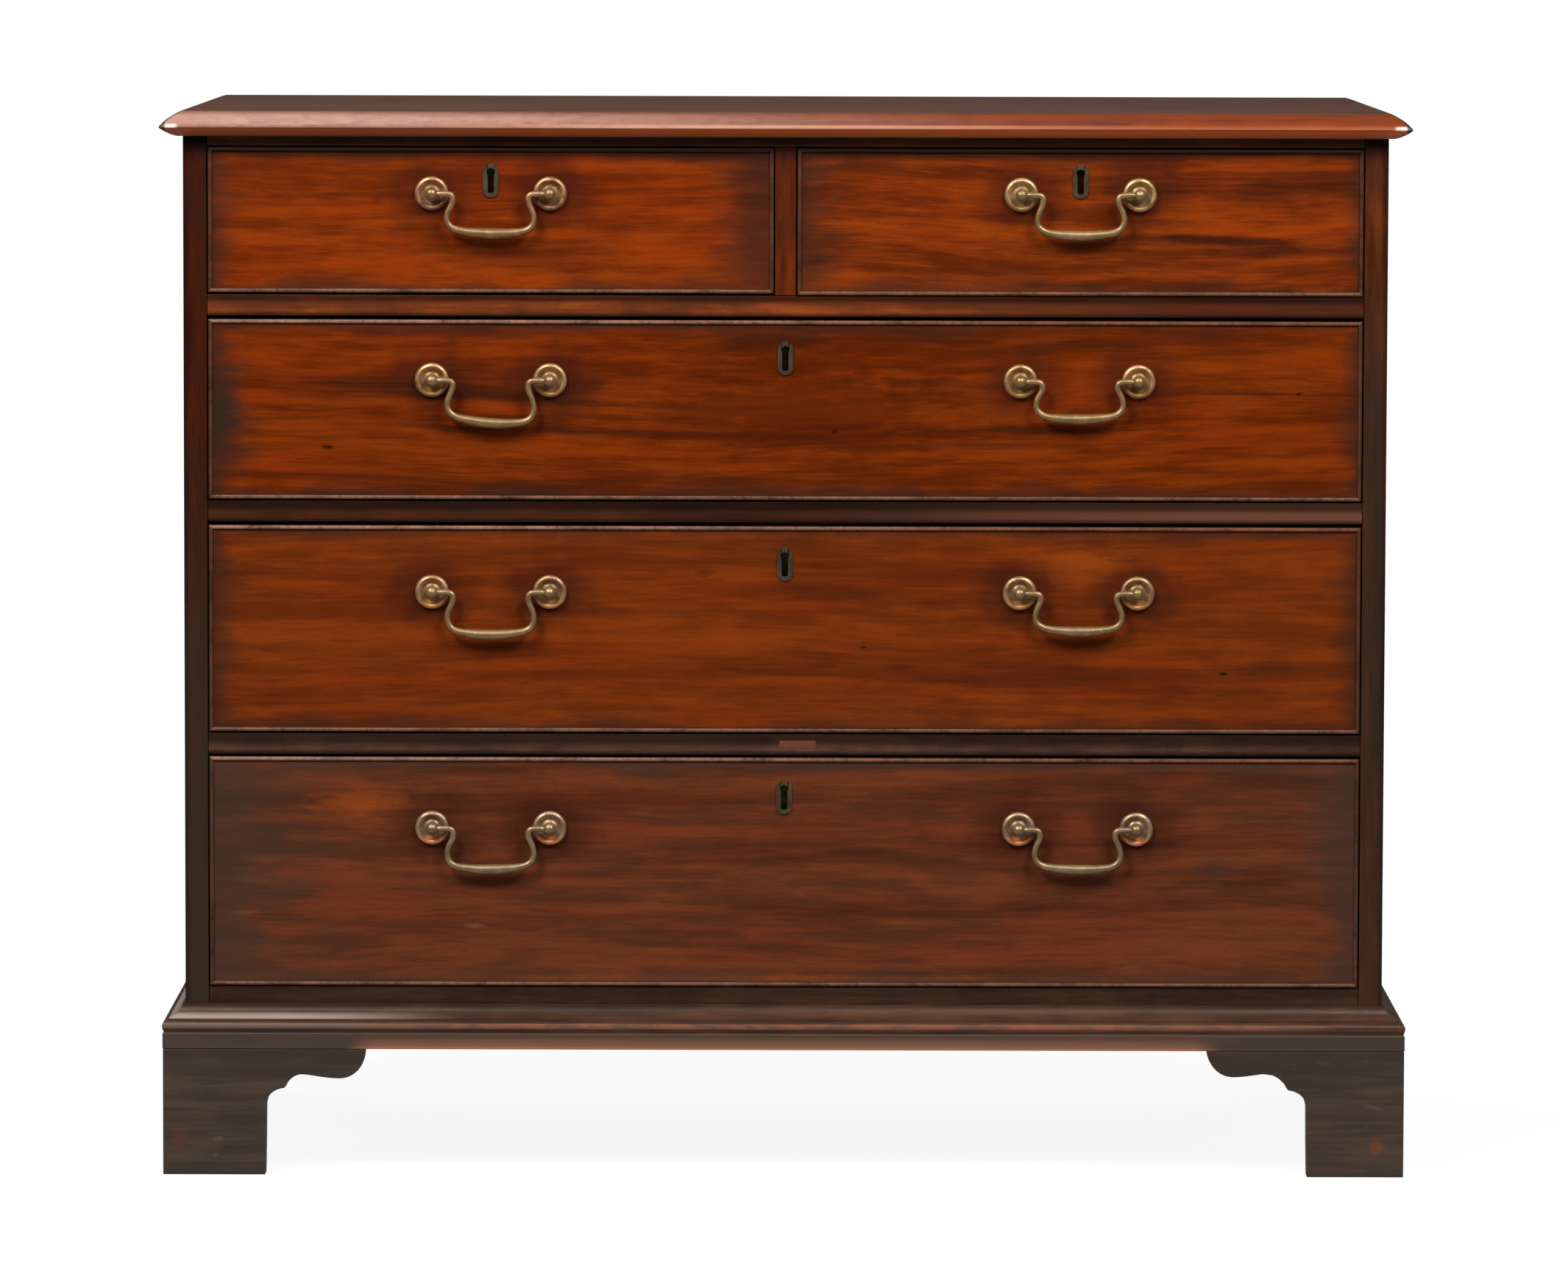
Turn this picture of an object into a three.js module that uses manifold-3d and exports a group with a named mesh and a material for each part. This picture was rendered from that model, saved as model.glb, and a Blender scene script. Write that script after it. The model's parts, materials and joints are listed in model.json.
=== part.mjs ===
/*
A mahogany chest of two short and three long drawers, in the manner of about 1780. The case is housed
together and carries a moulded top and a moulded base on scrolled bracket feet. Every drawer has a cock
bead, a lock whose bolt rises into the rail above, and swan-neck bails that swing in turned posts.
Lengths are in millimetres. X runs to the right, Y to the back and Z up. The origin is on the floor,
under the middle of the chest.
*/
import * as THREE from 'three';
import { mergeVertices } from 'three/addons/utils/BufferGeometryUtils.js';
import Module from 'manifold-3d';

const wasm = await Module();
wasm.setup();

// Clearances: between glued or seated pieces, and past a face in every cut.
const fitGap = 0.3;
const overrun = 2;

// Case.
const caseWidth = 1020;
const caseDepth = 511;
const sideThickness = 20;
const topThickness = 21.5;
const topOverhang = 19;
const topRailThickness = 9.5;
const railThickness = 18;
const railDepth = 62;
const dustboardThickness = 10;
const bottomThickness = 20;
const bottomReveal = 13.5;
const housingDepth = 8;
const housingStop = 12;
const backThickness = 12;
const backRebate = 10;
const backBoards = 5;
const backGrooveWidth = 3;
const backGrooveDepth = 2;
const partitionThickness = 18;
const guideHeight = 30;

// Opening heights from the top row down.
const rowHeights = [126, 157, 180, 198.5];

// Base and feet.
const footHeight = 108;
const fasciaHeight = 14;
const mouldingHeight = 24.5;
const baseProjection = 19;
const fasciaProjection = 18.6;
const footProjection = 18.3;
const baseFrameWidth = 60;
const bracketLength = 169;
const bracketThickness = 19;
const rearBracketLength = 130;
const glueBlock = 36;
const glueBlockLift = 3;

// Drawers.
const drawerSideGap = 1;
const drawerTopGap = 1.2;
const drawerBottomGap = 0.5;
const frontThickness = 22;
const beadWidth = 3.6;
const beadProud = 2.2;
const drawerRearGap = 20;
const drawerSideThickness = 10;
const drawerSideDrop = 6;
const drawerBackThickness = 9;
const drawerBackDrop = 8;
const drawerBottomThickness = 8;
const drawerBottomLift = 5;
const tongueDepth = 6;
const lap = 6;
const tailPitch = 46;
const tailEndShare = 0.72;
const tailNeckShare = 0.54;

// Handles: how far the bail's axis lies below the opening's top in each row.
const handleDrops = [40, 54, 59, 62.5];
const postSpacing = 100;
const pivotStandoff = 10;
const rosetteRadius = 14;
const rimHeight = 4.6;
const dishDepth = 2;
const neckRadius = 3.4;
const ballRadius = 5.2;
const shankRadius = 3;
const nutRadius = 7;
const nutThickness = 4;
const postSides = 12;
const bailDrop = 34;
const bailWireRadius = 2.5;
const bailGripRadius = 4.3;
const bailPinRadius = 1.9;
const bailPinReach = 3.6;
const bailElbow = 16.4;
const bailSides = 8;
const bailSteps = 20;

// Locks: how far the keyhole's middle lies below the opening's top in each row.
const lockDrops = [29, 35, 35, 36];
const plateWidth = 13.2;
const plateHeight = 28.5;
const plateThickness = 1;
const keyholeHeight = 21;
const keyholeHeadRadius = 3.6;
const keyholeSlotWidth = 5.4;
const keyholeDepth = 4;
const linerWall = 1.6;
const lockCaseWidth = 60;
const lockCaseThickness = 12;
const lockCaseBelowKey = 8;
const lockPlateWidth = 76;
const lockPlateBorder = 5;
const lockPlateThickness = 2;
const boltWidth = 24;
const boltThickness = 5;
const boltHeight = 18;
const boltThrow = 7;
const mortiseSlack = 0.5;

// Outlines as shares of the sizes beside them.
// The top's edge from the underside to the flat: of the overhang, and of the thickness.
const topEdgeShares = [
  [0.42, 0], [0.61, 0.055], [0.75, 0.13], [0.8, 0.21], [0.97, 0.235], [1, 0.3], [0.97, 0.385],
  [0.86, 0.485], [0.66, 0.6], [0.45, 0.715], [0.24, 0.825], [0.03, 0.925], [-0.21, 1],
];
// The planted moulding from its foot up: of the base's projection, and of the moulding's height.
const baseEdgeShares = [
  [0.86, 0], [0.86, 0.05], [0.96, 0.11], [1, 0.21], [0.98, 0.3], [0.87, 0.38], [0.7, 0.4],
  [0.7, 0.47], [0.57, 0.5], [0.37, 0.6], [0.22, 0.75], [0.16, 0.91], [0.16, 1],
];
// A bracket's free edge from the leg up: of the bracket's length, and of the foot's height.
const bracketShares = [
  [0.505, 0], [0.51, 0.505], [0.53, 0.603], [0.56, 0.661], [0.61, 0.705], [0.64, 0.758], [0.685, 0.802],
  [0.77, 0.783], [0.87, 0.768], [0.94, 0.797], [0.977, 0.852], [0.994, 0.907], [1, 1],
];
// A cock bead's nose from the drawer's edge inwards: of its width, and of how far it stands proud.
const beadShares = [[0, 0.3], [0.12, 0.75], [0.5, 1], [0.88, 0.75], [1, 0.3], [1, 0]];
// Half a bail from the elbow to the middle of the grip: of the elbow's or half spacing's distance
// across, of the drop down, and how far the wire swells from its own radius to the grip's.
const bailSideShares = [[1, 0, 0], [1.01, 0.1, 0], [0.93, 0.28, 0], [0.84, 0.5, 0], [0.88, 0.7, 0.05]];
const bailGripShares = [[0.35, 0.86, 0.1], [0.46, 0.96, 0.3], [0.64, 1, 0.7], [1, 1, 1]];

// Levels and places worked out from the sizes above.
const caseBottom = footHeight + fasciaHeight;
const mouldingTop = caseBottom + mouldingHeight;
const openingFloors = [];
let level = mouldingTop + bottomReveal;
for (const height of [...rowHeights].reverse()) {
  openingFloors.unshift(level);
  level += height + railThickness;
}
const openingTops = openingFloors.map((floor, row) => floor + rowHeights[row]);
const caseTop = openingTops[0] + topRailThickness;
const innerWidth = caseWidth - 2 * sideThickness;
const innerDepth = caseDepth - backThickness - fitGap;
const drawerDepth = innerDepth - drawerRearGap;
const rearLegWidth = bracketThickness + glueBlock;
const shortWidth = (innerWidth - partitionThickness) / 2;
const shortCentre = (innerWidth + partitionThickness) / 4;
const boltCentreY = frontThickness - lockCaseThickness / 2;

// Finishes.
const finish = (color, roughness, metalness = 0) =>
  new THREE.MeshStandardMaterial({ color, roughness, metalness });
const showWood = () => finish(0x6e3216, 0.38);
const darkWood = () => finish(0x4a2a1c, 0.45);
const topWood = () => finish(0x5a4034, 0.35);
const oak = () => finish(0x9a7650, 0.7);
const deal = () => finish(0x8d6b48, 0.8);
const brass = () => finish(0xa98a52, 0.35, 0.9);
const iron = () => finish(0x4b4642, 0.5, 0.8);

// A closed mesh as a solid for cutting and joining, turned inside out if its faces point inwards.
function solidOf(geometry) {
  const bare = new THREE.BufferGeometry();
  bare.setAttribute('position', geometry.getAttribute('position'));
  bare.setIndex(geometry.getIndex());
  const merged = mergeVertices(bare);
  const points = merged.getAttribute('position').array;
  const corners = Array.from(merged.getIndex().array);
  const at = (corner) => new THREE.Vector3().fromArray(points, 3 * corner);
  const triVerts = [];
  let volume = 0;
  for (let i = 0; i < corners.length; i += 3) {
    const [a, b, c] = corners.slice(i, i + 3);
    const isTriangle = a !== b && b !== c && c !== a;
    if (isTriangle) {
      volume += at(a).dot(at(b).cross(at(c)));
      triVerts.push(a, b, c);
    }
  }
  if (volume < 0) {
    triVerts.reverse();
  }
  return new wasm.Manifold(
    new wasm.Mesh({
      numProp: 3,
      vertProperties: new Float32Array(points),
      triVerts: new Uint32Array(triVerts),
    }),
  );
}

// A solid as geometry for a mesh.
function geometryOf(solid) {
  const { vertProperties, triVerts } = solid.getMesh();
  const geometry = new THREE.BufferGeometry();
  geometry.setAttribute('position', new THREE.BufferAttribute(vertProperties, 3));
  geometry.setIndex(new THREE.BufferAttribute(triVerts, 1));
  geometry.computeVertexNormals();
  return geometry;
}

const join = (solids) => solids.reduce((whole, solid) => whole.add(solid));
const cut = (solid, tools) => tools.reduce((left, tool) => left.subtract(tool), solid);

// A squared block between two limits on each axis.
function block([x0, x1], [y0, y1], [z0, z1]) {
  const box = new THREE.BoxGeometry(x1 - x0, y1 - y0, z1 - z0);
  box.translate((x0 + x1) / 2, (y0 + y1) / 2, (z0 + z1) / 2);
  return solidOf(box);
}

const outlineOf = (points) => new THREE.Shape(points.map(([u, v]) => new THREE.Vector2(u, v)));

// An outline drawn across the chest (x, z) and extruded between two depths.
function frontPrism(outline, [y0, y1], curveSegments = 5) {
  const prism = new THREE.ExtrudeGeometry(outline, {
    depth: y1 - y0,
    bevelEnabled: false,
    curveSegments,
  });
  prism.rotateX(Math.PI / 2);
  prism.translate(0, y1, 0);
  return solidOf(prism);
}

// An outline drawn in depth (y, z) and extruded from side to side.
function sidePrism(outline, [x0, x1]) {
  const prism = new THREE.ExtrudeGeometry(outline, { depth: x1 - x0, bevelEnabled: false });
  const across = new THREE.Matrix4().makeBasis(
    new THREE.Vector3(0, 1, 0),
    new THREE.Vector3(0, 0, 1),
    new THREE.Vector3(1, 0, 0),
  );
  prism.applyMatrix4(across);
  prism.translate(x0, 0, 0);
  return solidOf(prism);
}

// A skin through a row of rings with equally many points, closed with a flat cap at each end.
function loft(rings) {
  const size = rings[0].length;
  const faces = [];
  rings.slice(1).forEach((ring, step) => {
    for (let i = 0; i < size; i += 1) {
      const next = (i + 1) % size;
      const [a, b] = [step * size + i, step * size + next];
      faces.push(a, b, a + size, b, b + size, a + size);
    }
  });
  const flatten = (ring) => {
    const [origin, along] = [ring[0], ring[1].clone().sub(ring[0]).normalize()];
    const normal = new THREE.Vector3();
    ring.forEach((p, i) => normal.add(p.clone().cross(ring[(i + 1) % size])));
    const up = normal.normalize().clone().cross(along);
    return ring.map((p) => {
      const offset = p.clone().sub(origin);
      return new THREE.Vector2(offset.dot(along), offset.dot(up));
    });
  };
  const cap = (ring, first, isEnd) => {
    for (const [a, b, c] of THREE.ShapeUtils.triangulateShape(flatten(ring), [])) {
      const corners = isEnd ? [a, b, c] : [c, b, a];
      faces.push(...corners.map((corner) => first + corner));
    }
  };
  cap(rings[0], 0, false);
  cap(rings.at(-1), (rings.length - 1) * size, true);
  const geometry = new THREE.BufferGeometry().setFromPoints(rings.flat());
  geometry.setIndex(faces);
  return solidOf(geometry);
}

function piece(name, solid, material) {
  const mesh = new THREE.Mesh(geometryOf(solid), material);
  mesh.name = name;
  return mesh;
}

// Top: one board, moulded on the front and both ends and left square at the back.
function makeTop() {
  const rings = topEdgeShares.map(([outShare, upShare]) => {
    const reach = caseWidth / 2 + outShare * topOverhang;
    const front = -outShare * topOverhang;
    const height = upShare * topThickness;
    const corners = [[-reach, front], [reach, front], [reach, caseDepth], [-reach, caseDepth]];
    return corners.map(([x, y]) => new THREE.Vector3(x, y, height));
  });
  const top = piece('top', loft(rings), topWood());
  top.position.z = caseTop;
  return top;
}

// The side view of a drawer divider: a full-height blade at the front and a thinner dustboard behind,
// flush on top so that a drawer slides over both. With slack it is the housing for it.
function dividerOutline(slack) {
  const rear = railDepth + slack;
  const under = railThickness - dustboardThickness;
  return outlineOf([
    [-slack, -slack],
    [rear, -slack],
    [rear, under - slack],
    [innerDepth + slack, under - slack],
    [innerDepth + slack, railThickness + slack],
    [-slack, railThickness + slack],
  ]);
}

// The two notches that let a board's end enter a stopped housing, seen from above at its front.
function frontNotches(height) {
  const reach = innerWidth / 2 - fitGap;
  return [-1, 1].map((hand) => {
    const limits = [hand * reach, hand * (caseWidth / 2)].sort((a, b) => a - b);
    return block(limits, [-overrun, housingStop + fitGap], [-overrun, height + overrun]);
  });
}

// A mortise in the underside of a rail for each lock bolt that rises below it.
function boltMortises(centres) {
  const reach = boltWidth / 2 + mortiseSlack;
  const depth = boltThrow - drawerTopGap + mortiseSlack;
  const limitsY = [
    boltCentreY - boltThickness / 2 - mortiseSlack,
    boltCentreY + boltThickness / 2 + mortiseSlack,
  ];
  return centres.map((x) => block([x - reach, x + reach], limitsY, [-overrun, depth]));
}

const boardReach = innerWidth / 2 + housingDepth - fitGap;

function makeDividers() {
  const rails = openingTops.slice(1);
  return rails.map((height, i) => {
    const board = sidePrism(dividerOutline(0), [-boardReach, boardReach]);
    const tools = [...frontNotches(railThickness), ...boltMortises([0])];
    const divider = piece(`drawer_divider_${i + 1}`, cut(board, tools), darkWood());
    divider.position.z = height;
    return divider;
  });
}

function makeTopRail() {
  const height = topRailThickness - fitGap;
  const board = block([-boardReach, boardReach], [0, innerDepth], [0, height]);
  const tools = [...frontNotches(height), ...boltMortises([-shortCentre, shortCentre])];
  const rail = piece('top_rail_board', cut(board, tools), darkWood());
  rail.position.z = openingTops[0];
  return rail;
}

function makeBottom() {
  const board = block([-boardReach, boardReach], [0, innerDepth], [0, bottomThickness]);
  const bottom = piece('bottom_board', cut(board, frontNotches(bottomThickness)), deal());
  bottom.position.z = openingFloors.at(-1) - bottomThickness;
  return bottom;
}

// Case side, drawn with its inner face at x = 0 and its outer face at its thickness.
function makeSide(name, hand) {
  const board = block([0, sideThickness], [0, caseDepth], [caseBottom + fitGap, caseTop - fitGap]);
  const reachX = [-overrun, housingDepth];
  const housings = openingTops.slice(1).map((height) => {
    const housing = sidePrism(dividerOutline(fitGap), reachX);
    const stop = block(
      [-overrun, sideThickness],
      [-overrun, housingStop],
      [-overrun, railThickness + overrun],
    );
    return cut(housing, [stop]).translate([0, 0, height]);
  });
  const limitsY = [housingStop, innerDepth + fitGap];
  const bottomTop = openingFloors.at(-1);
  const bottomHousing = block(reachX, limitsY, [
    bottomTop - bottomThickness - fitGap,
    bottomTop + fitGap,
  ]);
  const topHousing = block(reachX, limitsY, [openingTops[0] - fitGap, caseTop + overrun]);
  const rebate = block(
    [-overrun, backRebate],
    [caseDepth - backThickness - fitGap, caseDepth + overrun],
    [0, caseTop + overrun],
  );
  const side = cut(board, [...housings, bottomHousing, topHousing, rebate]);
  const placed = hand > 0 ? side : side.mirror([1, 0, 0]);
  const mesh = piece(name, placed, darkWood());
  mesh.position.x = hand * (innerWidth / 2);
  return mesh;
}

// Back: upright boards butted in one panel, with a shallow groove where they meet.
function makeBack() {
  const reach = innerWidth / 2 + backRebate - fitGap;
  const limitsZ = [caseBottom + fitGap, caseTop - fitGap];
  const panel = block([-reach, reach], [caseDepth - backThickness, caseDepth], limitsZ);
  const grooves = [];
  for (let i = 1; i < backBoards; i += 1) {
    const x = -reach + (2 * reach * i) / backBoards;
    const outline = outlineOf([
      [x - backGrooveWidth / 2, 0],
      [x, -backGrooveDepth],
      [x + backGrooveWidth / 2, 0],
    ]);
    const groove = new THREE.ExtrudeGeometry(outline, {
      depth: limitsZ[1] - limitsZ[0] + 2 * overrun,
      bevelEnabled: false,
    });
    groove.translate(0, caseDepth, limitsZ[0] - overrun);
    grooves.push(solidOf(groove));
  }
  return piece('back_boards', cut(panel, grooves), deal());
}

// Partition: the upright between the short drawers, with the guide that runs back from its foot.
function makePartition() {
  const reach = [-partitionThickness / 2, partitionThickness / 2];
  const height = rowHeights[0] - fitGap;
  const muntin = block(reach, [0, railDepth], [fitGap, height]);
  const guide = block(reach, [0, innerDepth], [fitGap, guideHeight]);
  const partition = piece('drawer_partition', join([muntin, guide]), darkWood());
  partition.position.z = openingFloors[0];
  return partition;
}

// Base: a frame under the case with the moulding planted against it, mitred at the front corners.
function makeBase() {
  const outline = [
    [-baseFrameWidth, -fasciaHeight],
    [fasciaProjection, -fasciaHeight],
    [fasciaProjection, 0],
    ...baseEdgeShares.map(([outShare, upShare]) => [
      outShare * baseProjection,
      upShare * mouldingHeight,
    ]),
    [fitGap, mouldingHeight],
    [fitGap, 0],
    [-baseFrameWidth, 0],
  ];
  const stations = [
    { x: -1, y: caseDepth, outX: -1, outY: 0 },
    { x: -1, y: 0, outX: -1, outY: -1 },
    { x: 1, y: 0, outX: 1, outY: -1 },
    { x: 1, y: caseDepth, outX: 1, outY: 0 },
  ];
  const rings = stations.map(({ x, y, outX, outY }) =>
    outline.map(
      ([out, up]) => new THREE.Vector3((x * caseWidth) / 2 + outX * out, y + outY * out, up),
    ),
  );
  const reach = caseWidth / 2 - baseFrameWidth / 2;
  const rearRail = block(
    [-reach, reach],
    [caseDepth - baseFrameWidth, caseDepth],
    [-fasciaHeight, 0],
  );
  const base = piece('base_moulding', join([loft(rings), rearRail]), darkWood());
  base.position.z = caseBottom;
  return base;
}

// A bracket's outline from the outer corner of its foot inwards, and from the floor up.
function scrolledBracket() {
  const height = footHeight - fitGap;
  const edge = bracketShares.map(([along, up]) => [along * bracketLength, up * height]);
  return [[0, 0], ...edge, [0, height]];
}

function plainBracket() {
  const height = footHeight - fitGap;
  return [[0, 0], [rearLegWidth, 0], [rearLegWidth, height / 2], [rearBracketLength, height], [0, height]];
}

// Foot, drawn as a right front one from its outer corner: two mitred brackets and the glue block in
// their angle. A rear foot has a plain bracket at the back.
function makeFoot(name, handX, handY) {
  const isFront = handY < 0;
  const flip = (points) => outlineOf(points.map(([along, up]) => [-along, up]));
  const sideOutline = outlineOf(scrolledBracket());
  const faceOutline = flip(isFront ? scrolledBracket() : plainBracket());
  const inside = bracketThickness + glueBlock;
  const foot = join([
    frontPrism(faceOutline, [0, bracketThickness]),
    sidePrism(sideOutline, [-bracketThickness, 0]),
    block(
      [-inside, -bracketThickness / 2],
      [bracketThickness / 2, inside],
      [glueBlockLift, footHeight - fitGap],
    ),
  ]);
  const normals = [handX < 0 && [1, 0, 0], !isFront && [0, 1, 0]].filter(Boolean);
  const turned = normals.reduce((solid, normal) => solid.mirror(normal), foot);
  const mesh = piece(name, turned, darkWood());
  mesh.position.x = handX * (caseWidth / 2 + footProjection);
  mesh.position.y = isFront ? -footProjection : caseDepth;
  return mesh;
}

// Dovetails on one drawer side, seen from outside: wide at the lap and narrow at the shoulder.
// With slack they are the sockets for them.
function tailSolids(sideHeight, [x0, x1], slack) {
  const count = Math.round(sideHeight / tailPitch);
  const pitch = sideHeight / count;
  const endReach = (pitch * tailEndShare) / 2 + slack;
  const neckReach = (pitch * tailNeckShare) / 2 + slack;
  const tails = [];
  for (let i = 0; i < count; i += 1) {
    const middle = pitch * (i + 1 / 2);
    const outline = outlineOf([
      [lap + fitGap - slack, middle - endReach],
      [frontThickness + overrun, middle - neckReach],
      [frontThickness + overrun, middle + neckReach],
      [lap + fitGap - slack, middle + endReach],
    ]);
    tails.push(sidePrism(outline, [x0, x1]));
  }
  return tails;
}

// Keyhole: a round head over a parallel slot, drawn about its own middle.
function keyholeOutline(grow) {
  const radius = keyholeHeadRadius + grow;
  const reach = keyholeSlotWidth / 2 + grow;
  const headZ = keyholeHeight / 2 - keyholeHeadRadius;
  const slotZ = -keyholeHeight / 2 - grow;
  const start = Math.asin(reach / radius);
  const outline = new THREE.Shape();
  outline.moveTo(-reach, slotZ);
  outline.lineTo(reach, slotZ);
  outline.absarc(0, headZ, radius, start - Math.PI / 2, (3 * Math.PI) / 2 - start, false);
  return outline;
}

// Escutcheon plate: a tablet with a round head and foot.
function plateOutline() {
  const radius = plateWidth / 2;
  const reach = plateHeight / 2 - radius;
  const outline = new THREE.Shape();
  outline.absarc(0, reach, radius, 0, Math.PI, false);
  outline.absarc(0, -reach, radius, Math.PI, 2 * Math.PI, false);
  return outline;
}

// Drawer front: a board framed by its cock bead, with sockets for the dovetails, a groove for the
// bottom, a recess for the lock and holes for the keyhole's liner and the handle shanks.
function makeFront(drawer) {
  const { width, height, sideHeight, keyZ, postZ, postXs, lockFoot } = drawer;
  const ring = (inset, y) => {
    const [reach, low, high] = [width / 2 - inset, inset, height - inset];
    return [
      new THREE.Vector3(-reach, y, low),
      new THREE.Vector3(reach, y, low),
      new THREE.Vector3(reach, y, high),
      new THREE.Vector3(-reach, y, high),
    ];
  };
  const nose = beadShares.map(([inShare, proudShare]) =>
    ring(inShare * beadWidth, -proudShare * beadProud),
  );
  const board = loft([ring(0, frontThickness), ...nose]);
  const socketStart = width / 2 - drawerSideThickness - fitGap;
  const sockets = [
    ...tailSolids(sideHeight, [socketStart, width / 2 + overrun], fitGap),
    ...tailSolids(sideHeight, [-width / 2 - overrun, -socketStart], fitGap),
  ];
  const grooveReach = width / 2 - drawerSideThickness - fitGap;
  const groove = block(
    [-grooveReach, grooveReach],
    [frontThickness - tongueDepth - fitGap, frontThickness + overrun],
    [drawerBottomLift - fitGap, drawerBottomLift + drawerBottomThickness + fitGap],
  );
  const caseReach = lockCaseWidth / 2 + fitGap;
  const plateReach = lockPlateWidth / 2 + fitGap;
  const lockRecess = block(
    [-caseReach, caseReach],
    [frontThickness - lockCaseThickness - fitGap, frontThickness + overrun],
    [lockFoot - fitGap, height + overrun],
  );
  const plateRecess = block(
    [-plateReach, plateReach],
    [frontThickness - lockPlateThickness - fitGap, frontThickness + overrun],
    [lockFoot - lockPlateBorder - fitGap, height + overrun],
  );
  const keyPassage = frontPrism(keyholeOutline(linerWall + fitGap), [-overrun, frontThickness]);
  const postHoles = postXs.map((x) => {
    const length = frontThickness + 2 * overrun;
    const hole = new THREE.CylinderGeometry(shankRadius + fitGap, shankRadius + fitGap, length, postSides);
    hole.translate(x, frontThickness / 2, postZ);
    return solidOf(hole);
  });
  const tools = [...sockets, groove, lockRecess, plateRecess, keyPassage.translate([0, 0, keyZ])];
  return piece(`${drawer.name}_front`, cut(board, [...tools, ...postHoles]), showWood());
}

// Drawer box: the sides with their dovetails, the back between them and the bottom in its groove.
function makeBox(drawer) {
  const { width, sideHeight } = drawer;
  const outer = width / 2;
  const inner = outer - drawerSideThickness;
  const middle = outer - drawerSideThickness / 2;
  const shoulder = frontThickness + fitGap;
  const bottomZ = [drawerBottomLift, drawerBottomLift + drawerBottomThickness];
  const sides = [[inner, outer], [-outer, -inner]].flatMap((limitsX) => [
    block(limitsX, [shoulder, drawerDepth], [0, sideHeight]),
    ...tailSolids(sideHeight, limitsX, 0),
  ]);
  const back = block(
    [-middle, middle],
    [drawerDepth - drawerBackThickness, drawerDepth],
    [drawerBottomLift, sideHeight - drawerBackDrop],
  );
  const bottom = block([-middle, middle], [shoulder, drawerDepth], bottomZ);
  const tongueReach = inner - fitGap - fitGap;
  const tongue = block(
    [-tongueReach, tongueReach],
    [frontThickness - tongueDepth, shoulder + overrun],
    bottomZ,
  );
  return piece(`${drawer.name}_box`, join([...sides, back, bottom, tongue]), oak());
}

// Lock: the case let into the back of the front with its plate, the keyhole's liner through the wood
// and the escutcheon on the face. The bolt stands in a channel that opens at the top edge.
function makeLock(drawer) {
  const { height, keyZ, lockFoot } = drawer;
  const caseFront = frontThickness - lockCaseThickness;
  const lockTop = height - fitGap;
  const lockCase = block(
    [-lockCaseWidth / 2, lockCaseWidth / 2],
    [caseFront, frontThickness],
    [lockFoot, lockTop],
  );
  const backPlate = block(
    [-lockPlateWidth / 2, lockPlateWidth / 2],
    [frontThickness - lockPlateThickness, frontThickness],
    [lockFoot - lockPlateBorder, lockTop],
  );
  const liner = frontPrism(keyholeOutline(linerWall), [-fitGap - plateThickness / 2, caseFront + overrun]);
  const plate = frontPrism(plateOutline(), [-fitGap - plateThickness, -fitGap]);
  const keyway = frontPrism(keyholeOutline(0), [-fitGap - plateThickness - overrun, caseFront + keyholeDepth]);
  const reach = boltWidth / 2 + fitGap;
  const channel = block(
    [-reach, reach],
    [boltCentreY - boltThickness / 2 - fitGap, boltCentreY + boltThickness / 2 + fitGap],
    [lockTop - boltHeight - fitGap, height + overrun],
  );
  const onKey = [liner, plate].map((solid) => solid.translate([0, 0, keyZ]));
  const whole = join([lockCase, backPlate, ...onKey]);
  return piece(`${drawer.name}_lock`, cut(whole, [keyway.translate([0, 0, keyZ]), channel]), brass());
}

function makeBolt(drawer) {
  const top = drawer.height - fitGap;
  const bolt = block(
    [-boltWidth / 2, boltWidth / 2],
    [-boltThickness / 2, boltThickness / 2],
    [0, boltHeight],
  );
  const mesh = piece(`${drawer.name}_bolt`, bolt, iron());
  mesh.position.y = boltCentreY;
  mesh.position.z = top - boltHeight;
  return mesh;
}

// Handle post, turned about Y: nut, shank, dished rosette, neck and ball head. The bail's pin turns
// in a blind hole in the head, which faces along X.
function postSolid(hand) {
  const ballAt = (share) => {
    const angle = share * Math.PI;
    return [ballRadius * Math.sin(angle), -pivotStandoff - ballRadius * Math.cos(angle)];
  };
  const nutFace = frontThickness + fitGap;
  const neckBase = (rimHeight + dishDepth) / 2;
  const profile = [
    [0, nutFace + nutThickness],
    [nutRadius, nutFace + nutThickness],
    [nutRadius, nutFace],
    [shankRadius, nutFace],
    [shankRadius, -fitGap],
    [rosetteRadius, -fitGap],
    [rosetteRadius - rimHeight / 4, -rimHeight / 2],
    [rosetteRadius - rimHeight / 2, -rimHeight],
    [rosetteRadius - rimHeight - dishDepth / 2, -(rimHeight - dishDepth)],
    [neckRadius, -neckBase],
    ballAt(0.76),
    ballAt(0.5),
    ballAt(0.24),
    [0, -pivotStandoff - ballRadius],
  ];
  const points = profile.map(([radius, y]) => new THREE.Vector2(radius, y));
  const turned = solidOf(new THREE.LatheGeometry(points, postSides));
  const length = ballRadius + overrun;
  const radius = bailPinRadius + fitGap;
  const bore = new THREE.CylinderGeometry(radius, radius, length, bailSides);
  bore.rotateZ(Math.PI / 2);
  bore.translate(hand * (ballRadius - bailPinReach - fitGap + length / 2), -pivotStandoff, 0);
  return cut(turned, [solidOf(bore)]);
}

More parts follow.
